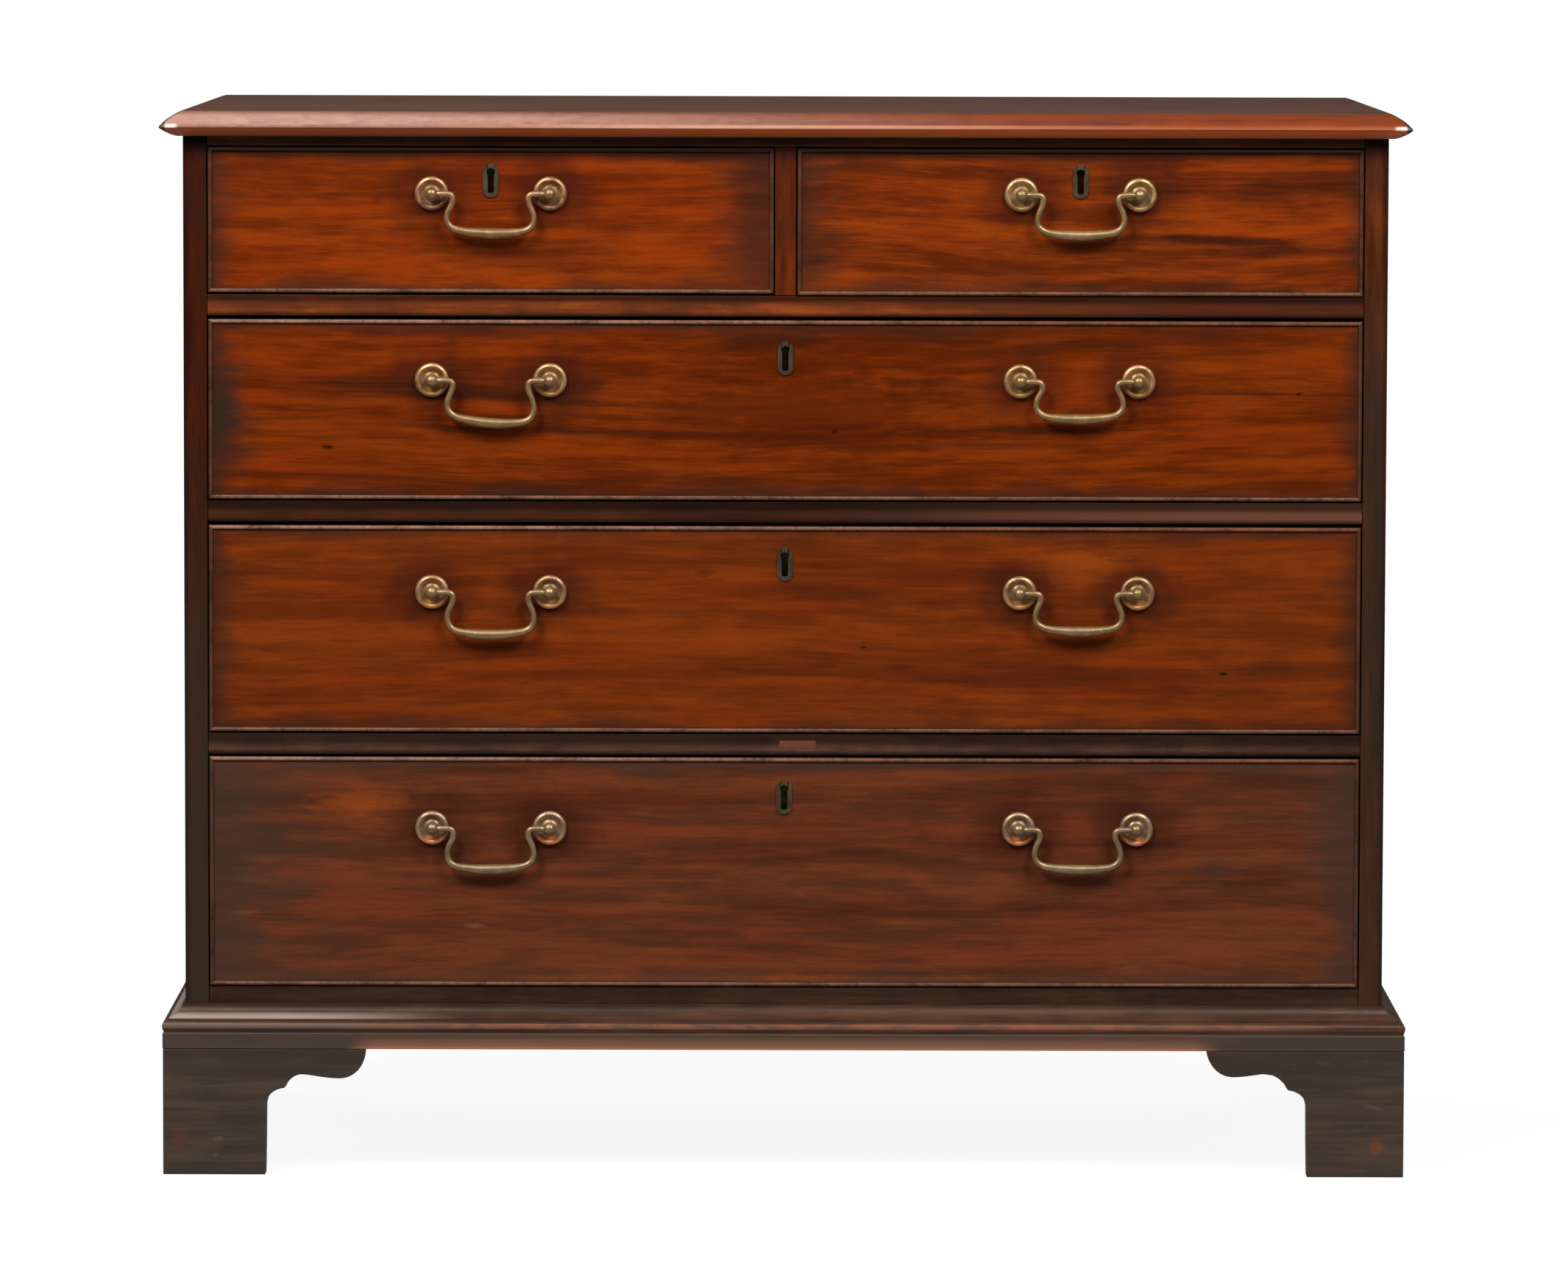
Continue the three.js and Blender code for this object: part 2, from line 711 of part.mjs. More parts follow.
// Bail: one cast wire with swan necks and a swelling grip, drawn about the middle of its axis.
function bailSolid() {
  const half = postSpacing / 2;
  const fromPost = (distance) => distance - half;
  const swell = (share) => bailWireRadius + share * (bailGripRadius - bailWireRadius);
  const pinStart = ballRadius - bailPinReach;
  const pinEnd = ballRadius + fitGap;
  const side = bailSideShares.map(([across, down, fat]) => [
    fromPost(across * bailElbow),
    -down * bailDrop,
    swell(fat),
  ]);
  const grip = bailGripShares.map(([across, down, fat]) => [
    fromPost(across * half),
    -down * bailDrop,
    swell(fat),
  ]);
  const knots = [...side, ...grip];
  const left = [[fromPost((pinEnd + bailElbow) / 2), 0, bailWireRadius], ...knots];
  const right = left.slice(0, -1).map(([x, z, radius]) => [-x, z, radius]).reverse();
  const all = [...left, ...right];
  const curve = new THREE.CatmullRomCurve3(all.map(([x, z]) => new THREE.Vector3(x, 0, z)));
  const ringAt = (centre, tangent, radius) => {
    const across = new THREE.Vector3(0, 1, 0).cross(tangent);
    const ring = [];
    for (let i = 0; i < bailSides; i += 1) {
      const angle = (2 * Math.PI * i) / bailSides;
      const out = across.clone().multiplyScalar(radius * Math.cos(angle));
      out.y = radius * Math.sin(angle);
      ring.push(centre.clone().add(out));
    }
    return ring;
  };
  const wire = [];
  for (let i = 0; i <= bailSteps; i += 1) {
    const share = i / bailSteps;
    const place = share * (all.length - 1);
    const knot = Math.min(Math.floor(place), all.length - 2);
    const radius = THREE.MathUtils.lerp(all[knot][2], all[knot + 1][2], place - knot);
    wire.push(ringAt(curve.getPoint(share), curve.getTangent(share), radius));
  }
  const along = new THREE.Vector3(1, 0, 0);
  const pinRing = (x, radius) => ringAt(new THREE.Vector3(x, 0, 0), along, radius);
  const startPin = [
    pinRing(fromPost(pinStart), bailPinRadius),
    pinRing(fromPost(pinEnd), bailPinRadius),
    pinRing(fromPost(pinEnd), bailWireRadius),
  ];
  const endPin = [
    pinRing(-fromPost(pinEnd), bailWireRadius),
    pinRing(-fromPost(pinEnd), bailPinRadius),
    pinRing(-fromPost(pinStart), bailPinRadius),
  ];
  return loft([...startPin, ...wire, ...endPin]);
}

const sharedBail = bailSolid();
const sharedPosts = { left: postSolid(1), right: postSolid(-1) };

function makeHandles(drawer) {
  const meshes = [];
  drawer.handleXs.forEach((x, i) => {
    const bail = piece(`${drawer.name}_bail_${i + 1}`, sharedBail, brass());
    bail.position.set(x, -pivotStandoff, drawer.postZ);
    const left = piece(`${drawer.name}_post_${2 * i + 1}`, sharedPosts.left, brass());
    left.position.set(x - postSpacing / 2, 0, drawer.postZ);
    const right = piece(`${drawer.name}_post_${2 * i + 2}`, sharedPosts.right, brass());
    right.position.set(x + postSpacing / 2, 0, drawer.postZ);
    meshes.push(bail, left, right);
  });
  return meshes;
}

// A whole drawer, drawn from the middle of the lower edge of its face and slid into its opening.
function makeDrawer(name, row, centreX, openingWidth, handleXs) {
  const height = rowHeights[row] - drawerTopGap - drawerBottomGap;
  const keyZ = height + drawerTopGap - lockDrops[row];
  const drawer = {
    name,
    height,
    width: openingWidth - 2 * drawerSideGap,
    sideHeight: height - drawerSideDrop,
    keyZ,
    postZ: height + drawerTopGap - handleDrops[row],
    lockFoot: keyZ - keyholeHeight / 2 - lockCaseBelowKey,
    handleXs,
    postXs: handleXs.flatMap((x) => [x - postSpacing / 2, x + postSpacing / 2]),
  };
  const group = new THREE.Group();
  group.add(makeFront(drawer), makeBox(drawer), makeLock(drawer), makeBolt(drawer));
  group.add(...makeHandles(drawer));
  group.position.set(centreX, 0, openingFloors[row] + drawerBottomGap);
  return group;
}

const chest = new THREE.Group();
chest.position.y = (topOverhang - caseDepth) / 2;
chest.add(makeTop(), makeTopRail(), makeBottom(), makeBack(), makePartition(), makeBase());
chest.add(...makeDividers());
chest.add(makeSide('side_left', -1), makeSide('side_right', 1));
chest.add(
  makeFoot('foot_front_left', -1, -1),
  makeFoot('foot_front_right', 1, -1),
  makeFoot('foot_back_left', -1, 1),
  makeFoot('foot_back_right', 1, 1),
);
chest.add(
  makeDrawer('short_left', 0, -shortCentre, shortWidth, [0]),
  makeDrawer('short_right', 0, shortCentre, shortWidth, [0]),
);
['long_upper', 'long_middle', 'long_lower'].forEach((name, i) => {
  chest.add(makeDrawer(name, i + 1, 0, innerWidth, [-shortCentre, shortCentre]));
});

export default chest;
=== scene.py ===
"""The looks of a straight-front mahogany chest of two short and three long drawers, put together in
the order in which it is made: the case, the top, the base and feet, then the drawers with their
beads, boxes, locks and handles. All lengths are in metres, but for those that mm() turns into them."""

import json
import math
import random

import bmesh
import bpy
from mathutils import Matrix, Vector
from mathutils.geometry import interpolate_bezier

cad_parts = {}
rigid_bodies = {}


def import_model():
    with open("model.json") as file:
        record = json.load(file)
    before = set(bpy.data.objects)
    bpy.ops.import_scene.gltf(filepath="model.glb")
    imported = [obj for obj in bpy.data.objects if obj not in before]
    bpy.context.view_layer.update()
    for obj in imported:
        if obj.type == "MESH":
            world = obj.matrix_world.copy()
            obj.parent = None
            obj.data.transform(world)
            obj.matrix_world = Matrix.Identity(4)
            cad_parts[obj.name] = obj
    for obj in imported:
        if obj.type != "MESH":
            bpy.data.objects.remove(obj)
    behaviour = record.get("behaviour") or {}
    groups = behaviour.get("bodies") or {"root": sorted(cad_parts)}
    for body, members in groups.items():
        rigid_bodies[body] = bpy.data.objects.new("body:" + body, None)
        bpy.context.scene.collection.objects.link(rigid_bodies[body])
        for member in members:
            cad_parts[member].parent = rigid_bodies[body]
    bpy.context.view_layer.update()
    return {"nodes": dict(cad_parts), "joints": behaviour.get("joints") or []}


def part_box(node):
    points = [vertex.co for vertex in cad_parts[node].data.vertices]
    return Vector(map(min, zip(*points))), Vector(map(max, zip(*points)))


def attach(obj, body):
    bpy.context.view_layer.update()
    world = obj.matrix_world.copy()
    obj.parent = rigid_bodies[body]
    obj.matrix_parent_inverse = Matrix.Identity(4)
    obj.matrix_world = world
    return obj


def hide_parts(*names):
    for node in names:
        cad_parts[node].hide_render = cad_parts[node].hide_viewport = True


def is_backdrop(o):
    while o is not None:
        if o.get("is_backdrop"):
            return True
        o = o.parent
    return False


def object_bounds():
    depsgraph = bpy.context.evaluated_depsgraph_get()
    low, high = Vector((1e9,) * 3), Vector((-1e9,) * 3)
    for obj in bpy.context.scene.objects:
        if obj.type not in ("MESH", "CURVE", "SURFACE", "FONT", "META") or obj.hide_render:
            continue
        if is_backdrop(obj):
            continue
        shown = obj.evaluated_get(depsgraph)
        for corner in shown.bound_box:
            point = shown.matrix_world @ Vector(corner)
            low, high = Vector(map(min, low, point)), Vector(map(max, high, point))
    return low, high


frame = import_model()

# The case: two sides, three drawer dividers, the board under the top, the bottom board, the upright
# between the short drawers, all of mahogany, and the pine back boards. They are housed and glued
# together, and have been waxed by hand for two centuries, so every arris is softened.
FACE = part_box("side_left")[0].y
CASE_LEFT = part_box("side_left")[0].x
CASE_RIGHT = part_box("side_right")[1].x
CASE_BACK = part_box("side_left")[1].y
# From this height up, close under the top's overhang, uprights and beads get painted shade.
UNDER_TOP_SHADE_FOOT = 0.858
SHARP = math.radians(32)


def shade(red, green, blue):
    """A screen's colour as the linear colour that a shader takes."""
    linear = [c / 255 / 12.92 if c <= 10 else ((c / 255 + 0.055) / 1.055) ** 2.4 for c in (red, green, blue)]
    return (*linear, 1.0)


def operator(operation, swapped=False):
    """A method that makes the node of one sum, product or the like."""
    if swapped:
        return lambda signal, other: reckoned(operation, other, signal)
    return lambda signal, *other: reckoned(operation, signal, *other)


class Signal:
    """A shader socket to reckon with as with a number or a vector: each step makes its node."""

    __add__ = operator("ADD")
    __sub__ = operator("SUBTRACT")
    __rsub__ = operator("SUBTRACT", swapped=True)
    __mul__ = operator("MULTIPLY")
    __truediv__ = operator("DIVIDE")
    __rtruediv__ = operator("DIVIDE", swapped=True)
    __pow__ = operator("POWER")
    __abs__ = operator("ABSOLUTE")

    def __init__(self, socket):
        self.socket = socket
        self.tree = socket.id_data

    def axes(self):
        """Its parts along X, Y and Z."""
        return [Signal(part) for part in put(self.tree, "ShaderNodeSeparateXYZ", {0: self}).outputs]

    def length(self):
        return step("ShaderNodeVectorMath", {0: self}, "Value", operation="LENGTH")

    def ramp(self, low, high, to_low=0.0, to_high=1.0):
        """A smooth step, from to_low at low to to_high at high."""
        inputs = {"Value": self, "From Min": low, "From Max": high, "To Min": to_low, "To Max": to_high}
        return step("ShaderNodeMapRange", inputs, "Result", interpolation_type="SMOOTHSTEP")

    def stroke(self, level, outer, inner):
        """A soft line about one level: full within inner of it and gone beyond outer."""
        return abs(self - level).ramp(outer, inner)

    def clouds(self, scale=1.0, detail=3.0, roughness=0.55):
        """Soft noise about one half."""
        inputs = {"Vector": self, "Scale": scale, "Detail": detail, "Roughness": roughness}
        return step("ShaderNodeTexNoise", inputs, "Fac", noise_dimensions="3D")


def feed(socket, value):
    """Links a signal into a socket, or sets a plain value on it. A colour of three numbers is given
    as it looks on a screen, from 0 to 255."""
    if isinstance(value, Signal):
        value.tree.links.new(value.socket, socket)
    elif socket.type == "RGBA" and len(value) == 3:
        socket.default_value = shade(*value)
    else:
        socket.default_value = value


def put(tree, kind, inputs=(), **settings):
    """A new node with its settings made and its inputs fed, by name or by number."""
    node = tree.nodes.new(kind)
    for key, value in settings.items():
        setattr(node, key, value)
    for key, value in dict(inputs).items():
        feed(node.inputs[key], value)
    return node


def step(kind, inputs, output=0, **settings):
    """The output of a new node in the tree of the signals that feed it."""
    tree = next(value.tree for value in inputs.values() if isinstance(value, Signal))
    return Signal(put(tree, kind, inputs, **settings).outputs[output])


def reckoned(operation, *values):
    """One sum, product or the like: of vectors if a signal among the values is one, else of numbers."""
    of_vectors = any(isinstance(v, Signal) and v.socket.type == "VECTOR" for v in values)
    kind = "ShaderNodeVectorMath" if of_vectors else "ShaderNodeMath"
    return step(kind, dict(enumerate(values)), operation=operation)


def vector(x=0.0, y=0.0, z=0.0):
    return step("ShaderNodeCombineXYZ", {0: x, 1: y, 2: z})


def mixed(amount, under, over, blend="MIX"):
    """Colour over laid on colour under, as far as amount says."""
    return step("ShaderNodeMix", {0: amount, 6: under, 7: over}, 2, data_type="RGBA", blend_type=blend)


def turned(position, degrees):
    """The pattern's coordinates turned, so that the grain runs along another side."""
    angles = [math.radians(d) for d in degrees]
    return step("ShaderNodeMapping", {"Vector": position, "Rotation": angles})


def effect(name, inputs, outputs=("Mask",)):
    """A shader node group with its named sockets, each input of its usual value's kind."""
    tree = bpy.data.node_groups.new(name, "ShaderNodeTree")
    for label, usual in inputs.items():
        kind = {3: "Vector", 4: "Color"}[len(usual)] if isinstance(usual, tuple) else "Float"
        socket = tree.interface.new_socket(name=label, in_out="INPUT", socket_type=f"NodeSocket{kind}")
        socket.default_value = usual
    for label in outputs:
        kind = "Color" if label == "Color" else "Float"
        tree.interface.new_socket(name=label, in_out="OUTPUT", socket_type=f"NodeSocket{kind}")
    given = tree.nodes.new("NodeGroupInput").outputs
    return tree, [Signal(given[label]) for label in inputs], tree.nodes.new("NodeGroupOutput").inputs


def laid(group, inputs):
    """One use of an effect in a finish: all its outputs."""
    node = put(inputs["Position"].tree, "ShaderNodeGroup", inputs, node_tree=group)
    return [Signal(output) for output in node.outputs]


def mahogany_effect():
    """Sawn mahogany with its grain along X: long streaks that wander together, short flecks across
    them, and open pores."""
    usual = {
        "Position": (0, 0, 0),
        "Seed": 0.0,
        "Wander": 0.03,
        "Streaks": 0.6,
        "Redden": 0.0,
        "Pale": (0.3, 0.05, 0.01, 1),
        "Deep": (0.08, 0.02, 0.005, 1),
        "Dark": (0.03, 0.01, 0.005, 1),
    }
    tree, given, out = effect("Mahogany", usual, ("Color", "Height"))
    position, seed, wander, streaks, redden, pale, deep, dark = given
    place = position + vector(seed, seed, seed) * (3.1, 1.7, 2.3)
    sway = (place * (1.5, 1.5, 5)).clouds(detail=2.0) - 0.5
    lines = place + vector(z=sway * wander)
    broad = (lines * (1.4, 20, 30)).clouds()
    narrow = (lines * (7.5, 60, 115)).clouds()
    fibre = (lines * (34, 300, 560)).clouds(detail=2.0)
    fleck = (lines * (17, 20, 85)).clouds()
    tone = (broad * 0.34 + narrow * 0.26) + (fibre * 0.15 + fleck * 0.25)
    body = mixed(tone.ramp(0.41, 0.59), deep, pale)
    ruddy = (lines * (5, 20, 26)).clouds().ramp(0.42, 0.62) * redden
    body = mixed(ruddy, body, (1.0, 0.62, 0.7, 1), "MULTIPLY")
    stain = (lines * (1.9, 30, 42)).clouds(detail=4.0, roughness=0.6)
    streaked = mixed(stain.ramp(0.5, 0.3) * streaks, body, dark)
    pore = (lines * (130, 900, 2100)).clouds(detail=1.0).ramp(0.36, 0.26)
    feed(out["Color"], mixed(pore * 0.45, streaked, dark))
    feed(out["Height"], fibre * 0.5 - pore)
    return tree


def patches_effect():
    """Uneven patches for bloom, dirt and rubbed places: more of them as Amount goes up."""
    usual = {"Position": (0, 0, 0), "Size": 0.05, "Amount": 0.5, "Soft": 0.1}
    tree, (position, size, amount, soft), out = effect("Patches", usual)
    field = position.clouds(1.0 / size, detail=4.0, roughness=0.6)
    edge = 0.75 - amount * 0.5
    feed(out["Mask"], field.ramp(edge - soft, edge + soft))
    return tree


MAHOGANY = mahogany_effect()
PATCHES = patches_effect()


class Finish:
    """A material in the making: its shader, where its pattern lies, and the colour it has so far."""

    def __init__(self, name, gloss, bump, specular=0.5, metallic=0.0, color=None):
        self.material = bpy.data.materials.new(name)
        self.material.use_nodes = True
        tree = self.material.node_tree
        self.shader = tree.nodes["Principled BSDF"].inputs
        self.shader["Roughness"].default_value = gloss
        self.shader["Specular IOR Level"].default_value = specular
        self.shader["Metallic"].default_value = metallic
        self.position = Signal(tree.nodes.new("ShaderNodeTexCoord").outputs["Object"])
        relief = put(tree, "ShaderNodeBump", {"Strength": bump, "Distance": 0.0004})
        tree.links.new(relief.outputs["Normal"], self.shader["Normal"])
        self.height = relief.inputs["Height"]
        self.color = color

    def grow(self, seed, wander, streaks, pale, deep, dark, turn=None, redden=0.0):
        """Mahogany's figure as the colour, and its pores as the relief."""
        figure = {"Seed": seed, "Wander": wander, "Streaks": streaks, "Redden": redden}
        position = turned(self.position, turn) if turn else self.position
        colors = {"Pale": pale, "Deep": deep, "Dark": dark}
        self.color, pores = laid(MAHOGANY, {"Position": position, **figure, **colors})
        feed(self.height, pores)

    def patches(self, size, amount, soft, stretch=None):
        """A mask of patches, drawn out along each axis where stretch is under 1."""
        position = self.position * stretch if stretch else self.position
        return laid(PATCHES, {"Position": position, "Size": size, "Amount": amount, "Soft": soft})[0]

    def paint(self, amount, color):
        """A colour over what is there, as far as amount says."""
        self.color = mixed(amount, self.color, color)

    def done(self):
        feed(self.shader["Base Color"], self.color)
        return self.material


def case_finish(name, pale, deep, turn, seed, low=None, shade_reach=0.0, right=None):
    """Waxed case mahogany, with the polish gone dull and dark in patches. Low is its greyer colour further
    down and the heights between which it turns to it, and with it the outer arris gets painted shade.
    Uprights get painted shade close under the top. For a rail, its reach is how far painted shadow
    darkens it below the drawer over it, with painted shade along its foot, and right is its colour at the
    right."""
    gloss = 0.3
    wood = Finish(f"{name} mahogany", gloss, bump=0.2, specular=0.15)
    wood.grow(seed, wander=0.02, streaks=0.4, pale=pale, deep=deep, dark=(28, 13, 7), turn=turn)
    figure = wood.color
    dirt = wood.patches(size=0.06, amount=0.45, soft=0.12)
    wood.paint(dirt * 0.4, (34, 19, 11))
    x, _, z = wood.position.axes()
    if low:
        grey, start, end = low
        wood.paint(z.ramp(start, end, 0, 0.85), mixed(0.2, grey, figure))
        # Painted shade on the rounded outer arris.
        arris = abs(x).ramp(CASE_RIGHT - 0.006, CASE_RIGHT - 0.001)
        wood.paint(arris * 0.5, (24, 13, 9))
    # Painted shade on the uprights close under the top's overhang.
    if turn is UPRIGHT:
        wood.paint(z.ramp(UNDER_TOP_SHADE_FOOT, UNDER_TOP_SHADE_FOOT + 0.020, 0, 0.75), (20, 10, 7))
    if right:
        wood.paint(x.ramp(-0.05, 0.40, 0, 0.85), right)
    # Painted shadow below the drawer over the rail, and painted shade along the rail's foot.
    if shade_reach:
        foot, head = (corner.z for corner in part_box(name))
        shadow = z.ramp(head - shade_reach, head - 0.4 * shade_reach, 0, 0.75)
        seat = z.ramp(foot + 0.0050, foot + 0.0005, 0, 0.8)
        wood.paint(reckoned("MAXIMUM", shadow, seat), (18, 8, 5))
    feed(wood.shader["Roughness"], dirt * 0.12 + gloss)
    return wood.done()


def plain_finish(name, pale, deep, turn, seed):
    """Dry, unpolished wood inside and behind: oak or pine with a straight grain and handling dirt."""
    wood = Finish(name, gloss=0.72, bump=0.3)
    wood.grow(seed, wander=0.012, streaks=0.3, pale=pale, deep=deep, dark=(70, 48, 30), turn=turn)
    wood.paint(wood.patches(size=0.30, amount=0.4, soft=0.2) * 0.2, (60, 42, 28))
    return wood.done()


def soften(piece, width):
    """A worn arris on every sharp edge."""
    bevel = piece.modifiers.new("arris", "BEVEL")
    bevel.width = width
    bevel.segments = 2
    bevel.limit_method = "ANGLE"
    bevel.angle_limit = SHARP
    bevel.harden_normals = True


def dress(node, material, arris):
    """A CAD node that stays: its corners welded and softened, and its wood on it."""
    piece = frame["nodes"][node]
    piece.data.materials.clear()
    piece.data.materials.append(material)
    weld = piece.modifiers.new("weld", "WELD")
    weld.merge_threshold = 0.00001
    soften(piece, arris)


UPRIGHT = (0, 90, 0)
ACROSS_CASE = (0, 0, 0)
CASE_WOODS = {
    "side_left": ((72, 27, 7), (48, 18, 6), UPRIGHT, {"low": ((54, 47, 38), 0.75, 0.25)}),
    "side_right": ((110, 52, 18), (70, 32, 12), UPRIGHT, {"low": ((42, 38, 32), 0.80, 0.62)}),
    "drawer_partition": ((110, 43, 8), (74, 28, 6), UPRIGHT, {}),
    "top_rail_board": ((94, 52, 28), (64, 36, 20), ACROSS_CASE, {}),
    "drawer_divider_1": (
        (156, 74, 32), (108, 52, 24), ACROSS_CASE, {"shade_reach": 0.008, "right": (72, 34, 17)},
    ),
    "drawer_divider_2": (
        (82, 43, 25), (58, 31, 18), ACROSS_CASE, {"shade_reach": 0.011, "right": (110, 69, 53)},
    ),
    "drawer_divider_3": ((100, 68, 51), (74, 50, 38), ACROSS_CASE, {"shade_reach": 0.014}),
    "bottom_board": ((72, 49, 35), (50, 34, 26), ACROSS_CASE, {}),
}
# Wear here holds each wood's extras: its greyer colour further down, how far painted shadow reaches on a
# rail, and its colour at the right.
for number, (node, (pale, deep, turn, wear)) in enumerate(CASE_WOODS.items()):
    wood = case_finish(node, pale, deep, turn, seed=2.0 + 3 * number, **wear)
    dress(node, wood, arris=0.0009 if turn is UPRIGHT else 0.0006)
back_pine = plain_finish("back pine", (150, 112, 74), (112, 80, 50), UPRIGHT, seed=3.0)
dress("back_boards", back_pine, arris=0.0008)

# The top: one wide mahogany board with a moulding worked on its front and ends. Its flat has faded
# under lamps and dust, and the moulding is rubbed through to pale wood along the left of the front,
# with painted highlights and painted shade laid on the moulding.
# The moulding is given as (out from the case, up from the underside).
TOP_LOW, TOP_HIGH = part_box("top")


def mm(*points):
    """Points given in millimetres."""
    return [tuple(value / 1000 for value in point) for point in points]


TOP_UNDERCUT = mm((3.0, 0.0), (3.4, -1.5), (8.0, -0.5), (12.4, 1.5), (15.2, 3.0), (17.0, 4.3))
TOP_NOSE = mm((18.4, 5.2), (19.0, 6.1), (18.9, 7.0), (18.4, 7.8))
TOP_SLOPE = mm(
    (17.4, 8.6), (15.5, 10.7), (12.5, 13.4), (8.6, 15.9), (4.6, 18.2), (0.6, 20.1), (-4.0, 21.5),
)


def drawn(points, steps=4):
    """A smooth line through points, as a moulding plane would leave it."""
    line = []
    for i, (start, end) in enumerate(zip(points, points[1:])):
        before, after = points[max(i - 1, 0)], points[min(i + 2, len(points) - 1)]
        a, b = Vector((*start, 0)), Vector((*end, 0))
        lead, tail = (b - Vector((*before, 0))) / 6, (Vector((*after, 0)) - a) / 6
        line += [p.to_2d() for p in interpolate_bezier(a, a + lead, b - tail, b, steps + 1)[:-1]]
    return [*line, Vector(points[-1])]


def extruded(bm, geom, matrix):
    """Extrudes a chain of edges or a face, carries the new end off with a matrix and returns it."""
    kind = type(geom[0])
    if kind is bmesh.types.BMEdge:
        made = bmesh.ops.extrude_edge_only(bm, edges=geom)["geom"]
    else:
        made = bmesh.ops.extrude_face_region(bm, geom=geom)["geom"]
    moved = {g for g in made if isinstance(g, bmesh.types.BMVert)}
    bmesh.ops.transform(bm, matrix=matrix, verts=list(moved))
    return [g for g in made if isinstance(g, kind) and set(g.verts) <= moved]


def to_front_mitre(x_corner, y_corner):
    """Carries a section on the left side forward to its mitre at the front corner."""
    return Matrix(((1, 0, 0, 0), (1, 0, 0, y_corner - x_corner), (0, 0, 1, 0), (0, 0, 0, 1)))


def to_depth(y):
    """Carries a section along Y to one depth, and squares it off there."""
    return Matrix(((1, 0, 0, 0), (0, 0, 0, y), (0, 0, 1, 0), (0, 0, 0, 1)))


ACROSS = Matrix.Diagonal((-1, 1, 1, 1))


def made_piece(bm, name, body, node, material, arris=0.0005):
    """Turns a finished bmesh into a piece of the chest, on its body and in place of a CAD node."""
    bmesh.ops.remove_doubles(bm, verts=bm.verts, dist=0.000001)
    bmesh.ops.recalc_face_normals(bm, faces=bm.faces)
    mesh = bpy.data.meshes.new(name)
    bm.to_mesh(mesh)
    bm.free()
    mesh.shade_smooth()
    mesh.set_sharp_from_angle(angle=SHARP)
    mesh.materials.append(material)
    piece = bpy.data.objects.new(name, mesh)
    bpy.context.scene.collection.objects.link(piece)
    if arris:
        soften(piece, arris)
    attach(piece, body)
    if node:
        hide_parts(node)


def top_finish():
    """Faded brown on the flat. The moulding is rubbed pale toward the left with a painted highlight in
    it, has painted shade on its upper slope, a painted highlight along its nose and painted glints at
    its corners, is lit underneath by painted light and holds dirt in its mitres."""
    wood = Finish("top mahogany", gloss=0.3, bump=0.06)
    wood.grow(seed=14.0, wander=0.03, streaks=0.35, pale=(130, 52, 5), deep=(94, 34, 4), dark=(60, 26, 12))
    x, y, z = wood.position.axes()
    rise = z - TOP_LOW.z
    flat = z.ramp(TOP_HIGH.z - 0.0032, TOP_HIGH.z - 0.0014)
    moulded = 1.0 - flat
    wood.paint(flat, mixed(0.76, wood.color, (77, 60, 49)))
    wear = wood.patches(size=0.008, amount=0.62, soft=0.2, stretch=(0.5, 1, 1.6))
    from_mitre = (FACE - y) - (abs(x) - CASE_RIGHT)
    on_front = from_mitre.ramp(-0.0006, 0.0006)
    leftward = x.ramp(0.26, -0.42)
    worn = on_front * leftward * moulded
    # Wear rubbed pale along the left of the moulding, with a painted highlight laid in it.
    rubbed_and_lit = worn * (wear * 0.42 + 0.55) * rise.ramp(0.0046, 0.0106) * rise.ramp(0.0200, 0.0130, 0.6, 1.0)
    wood.paint(rubbed_and_lit, (178, 134, 117))
    # Painted shade on the upper slope of the moulding.
    wood.paint(rise.ramp(0.0158, 0.0198) * moulded * 0.5, (66, 36, 24))
    # A painted highlight along the nose of the moulding.
    crest_highlight = rise.stroke(0.0077, 0.0024, 0.0008) * on_front * x.ramp(-0.34, -0.08, 0.0, 0.75)
    wood.paint(crest_highlight, mixed(x.ramp(0.0, 0.34), (200, 142, 114), (156, 74, 26)))
    dashes = wood.patches(size=0.004, amount=0.34, soft=0.14, stretch=(0.3, 1, 1))
    wood.paint(dashes * rise.ramp(0.0165, 0.0095) * worn * 0.45, (112, 62, 48))
    # Painted light on the underside of the nose.
    under = rise.ramp(0.0058, 0.0046) * y.ramp(CASE_BACK - 0.0002, CASE_BACK - 0.0020)
    lit_underside = mixed(rise.ramp(0.0046, -0.0012), (250, 116, 32), (200, 118, 78))
    wood.paint(under * 0.9, mixed(leftward * 0.4, lit_underside, (104, 76, 58)))
    tip = abs(x).ramp(CASE_RIGHT + 0.0020, CASE_RIGHT + 0.0070) * on_front
    glint = tip * rise.stroke(0.0074, 0.0024, 0.0008) * (wear + 0.4)
    wood.paint(glint * 0.62, (250, 232, 220))
    outmost = abs(x).ramp(CASE_RIGHT + 0.0128, CASE_RIGHT + 0.0152) * on_front
    wood.paint(outmost * 0.9, (34, 20, 18))
    mitre_dirt = from_mitre.ramp(0.0034, 0.0010) * from_mitre.ramp(-0.0030, -0.0010) * moulded
    wood.paint(mitre_dirt * 0.75, (40, 18, 14))
    bloom = wood.patches(size=0.16, amount=0.5, soft=0.3)
    feed(wood.shader["Roughness"], reckoned("MULTIPLY_ADD", bloom, 0.08, 0.27) + moulded * (wear * 0.16))
    return wood.done()


top = bmesh.new()
line = drawn(TOP_UNDERCUT) + drawn(TOP_NOSE) + drawn(TOP_SLOPE)
section = [top.verts.new((CASE_LEFT - out, CASE_BACK, TOP_LOW.z + up)) for out, up in line]
chain = [top.edges.new(pair) for pair in zip(section, section[1:])]
for carry in (to_front_mitre(CASE_LEFT, FACE), ACROSS, to_depth(CASE_BACK)):
    chain = extruded(top, chain, carry)
for level in (TOP_LOW.z, TOP_HIGH.z):
    rim = [v for v in top.verts if abs(v.co.z - level) < 1e-6]
    bmesh.ops.contextual_create(top, geom=rim)
bmesh.ops.holes_fill(top, edges=[e for e in top.edges if e.is_boundary], sides=0)
made_piece(top, "top_board", "case", "top", top_finish(), arris=0.0006)
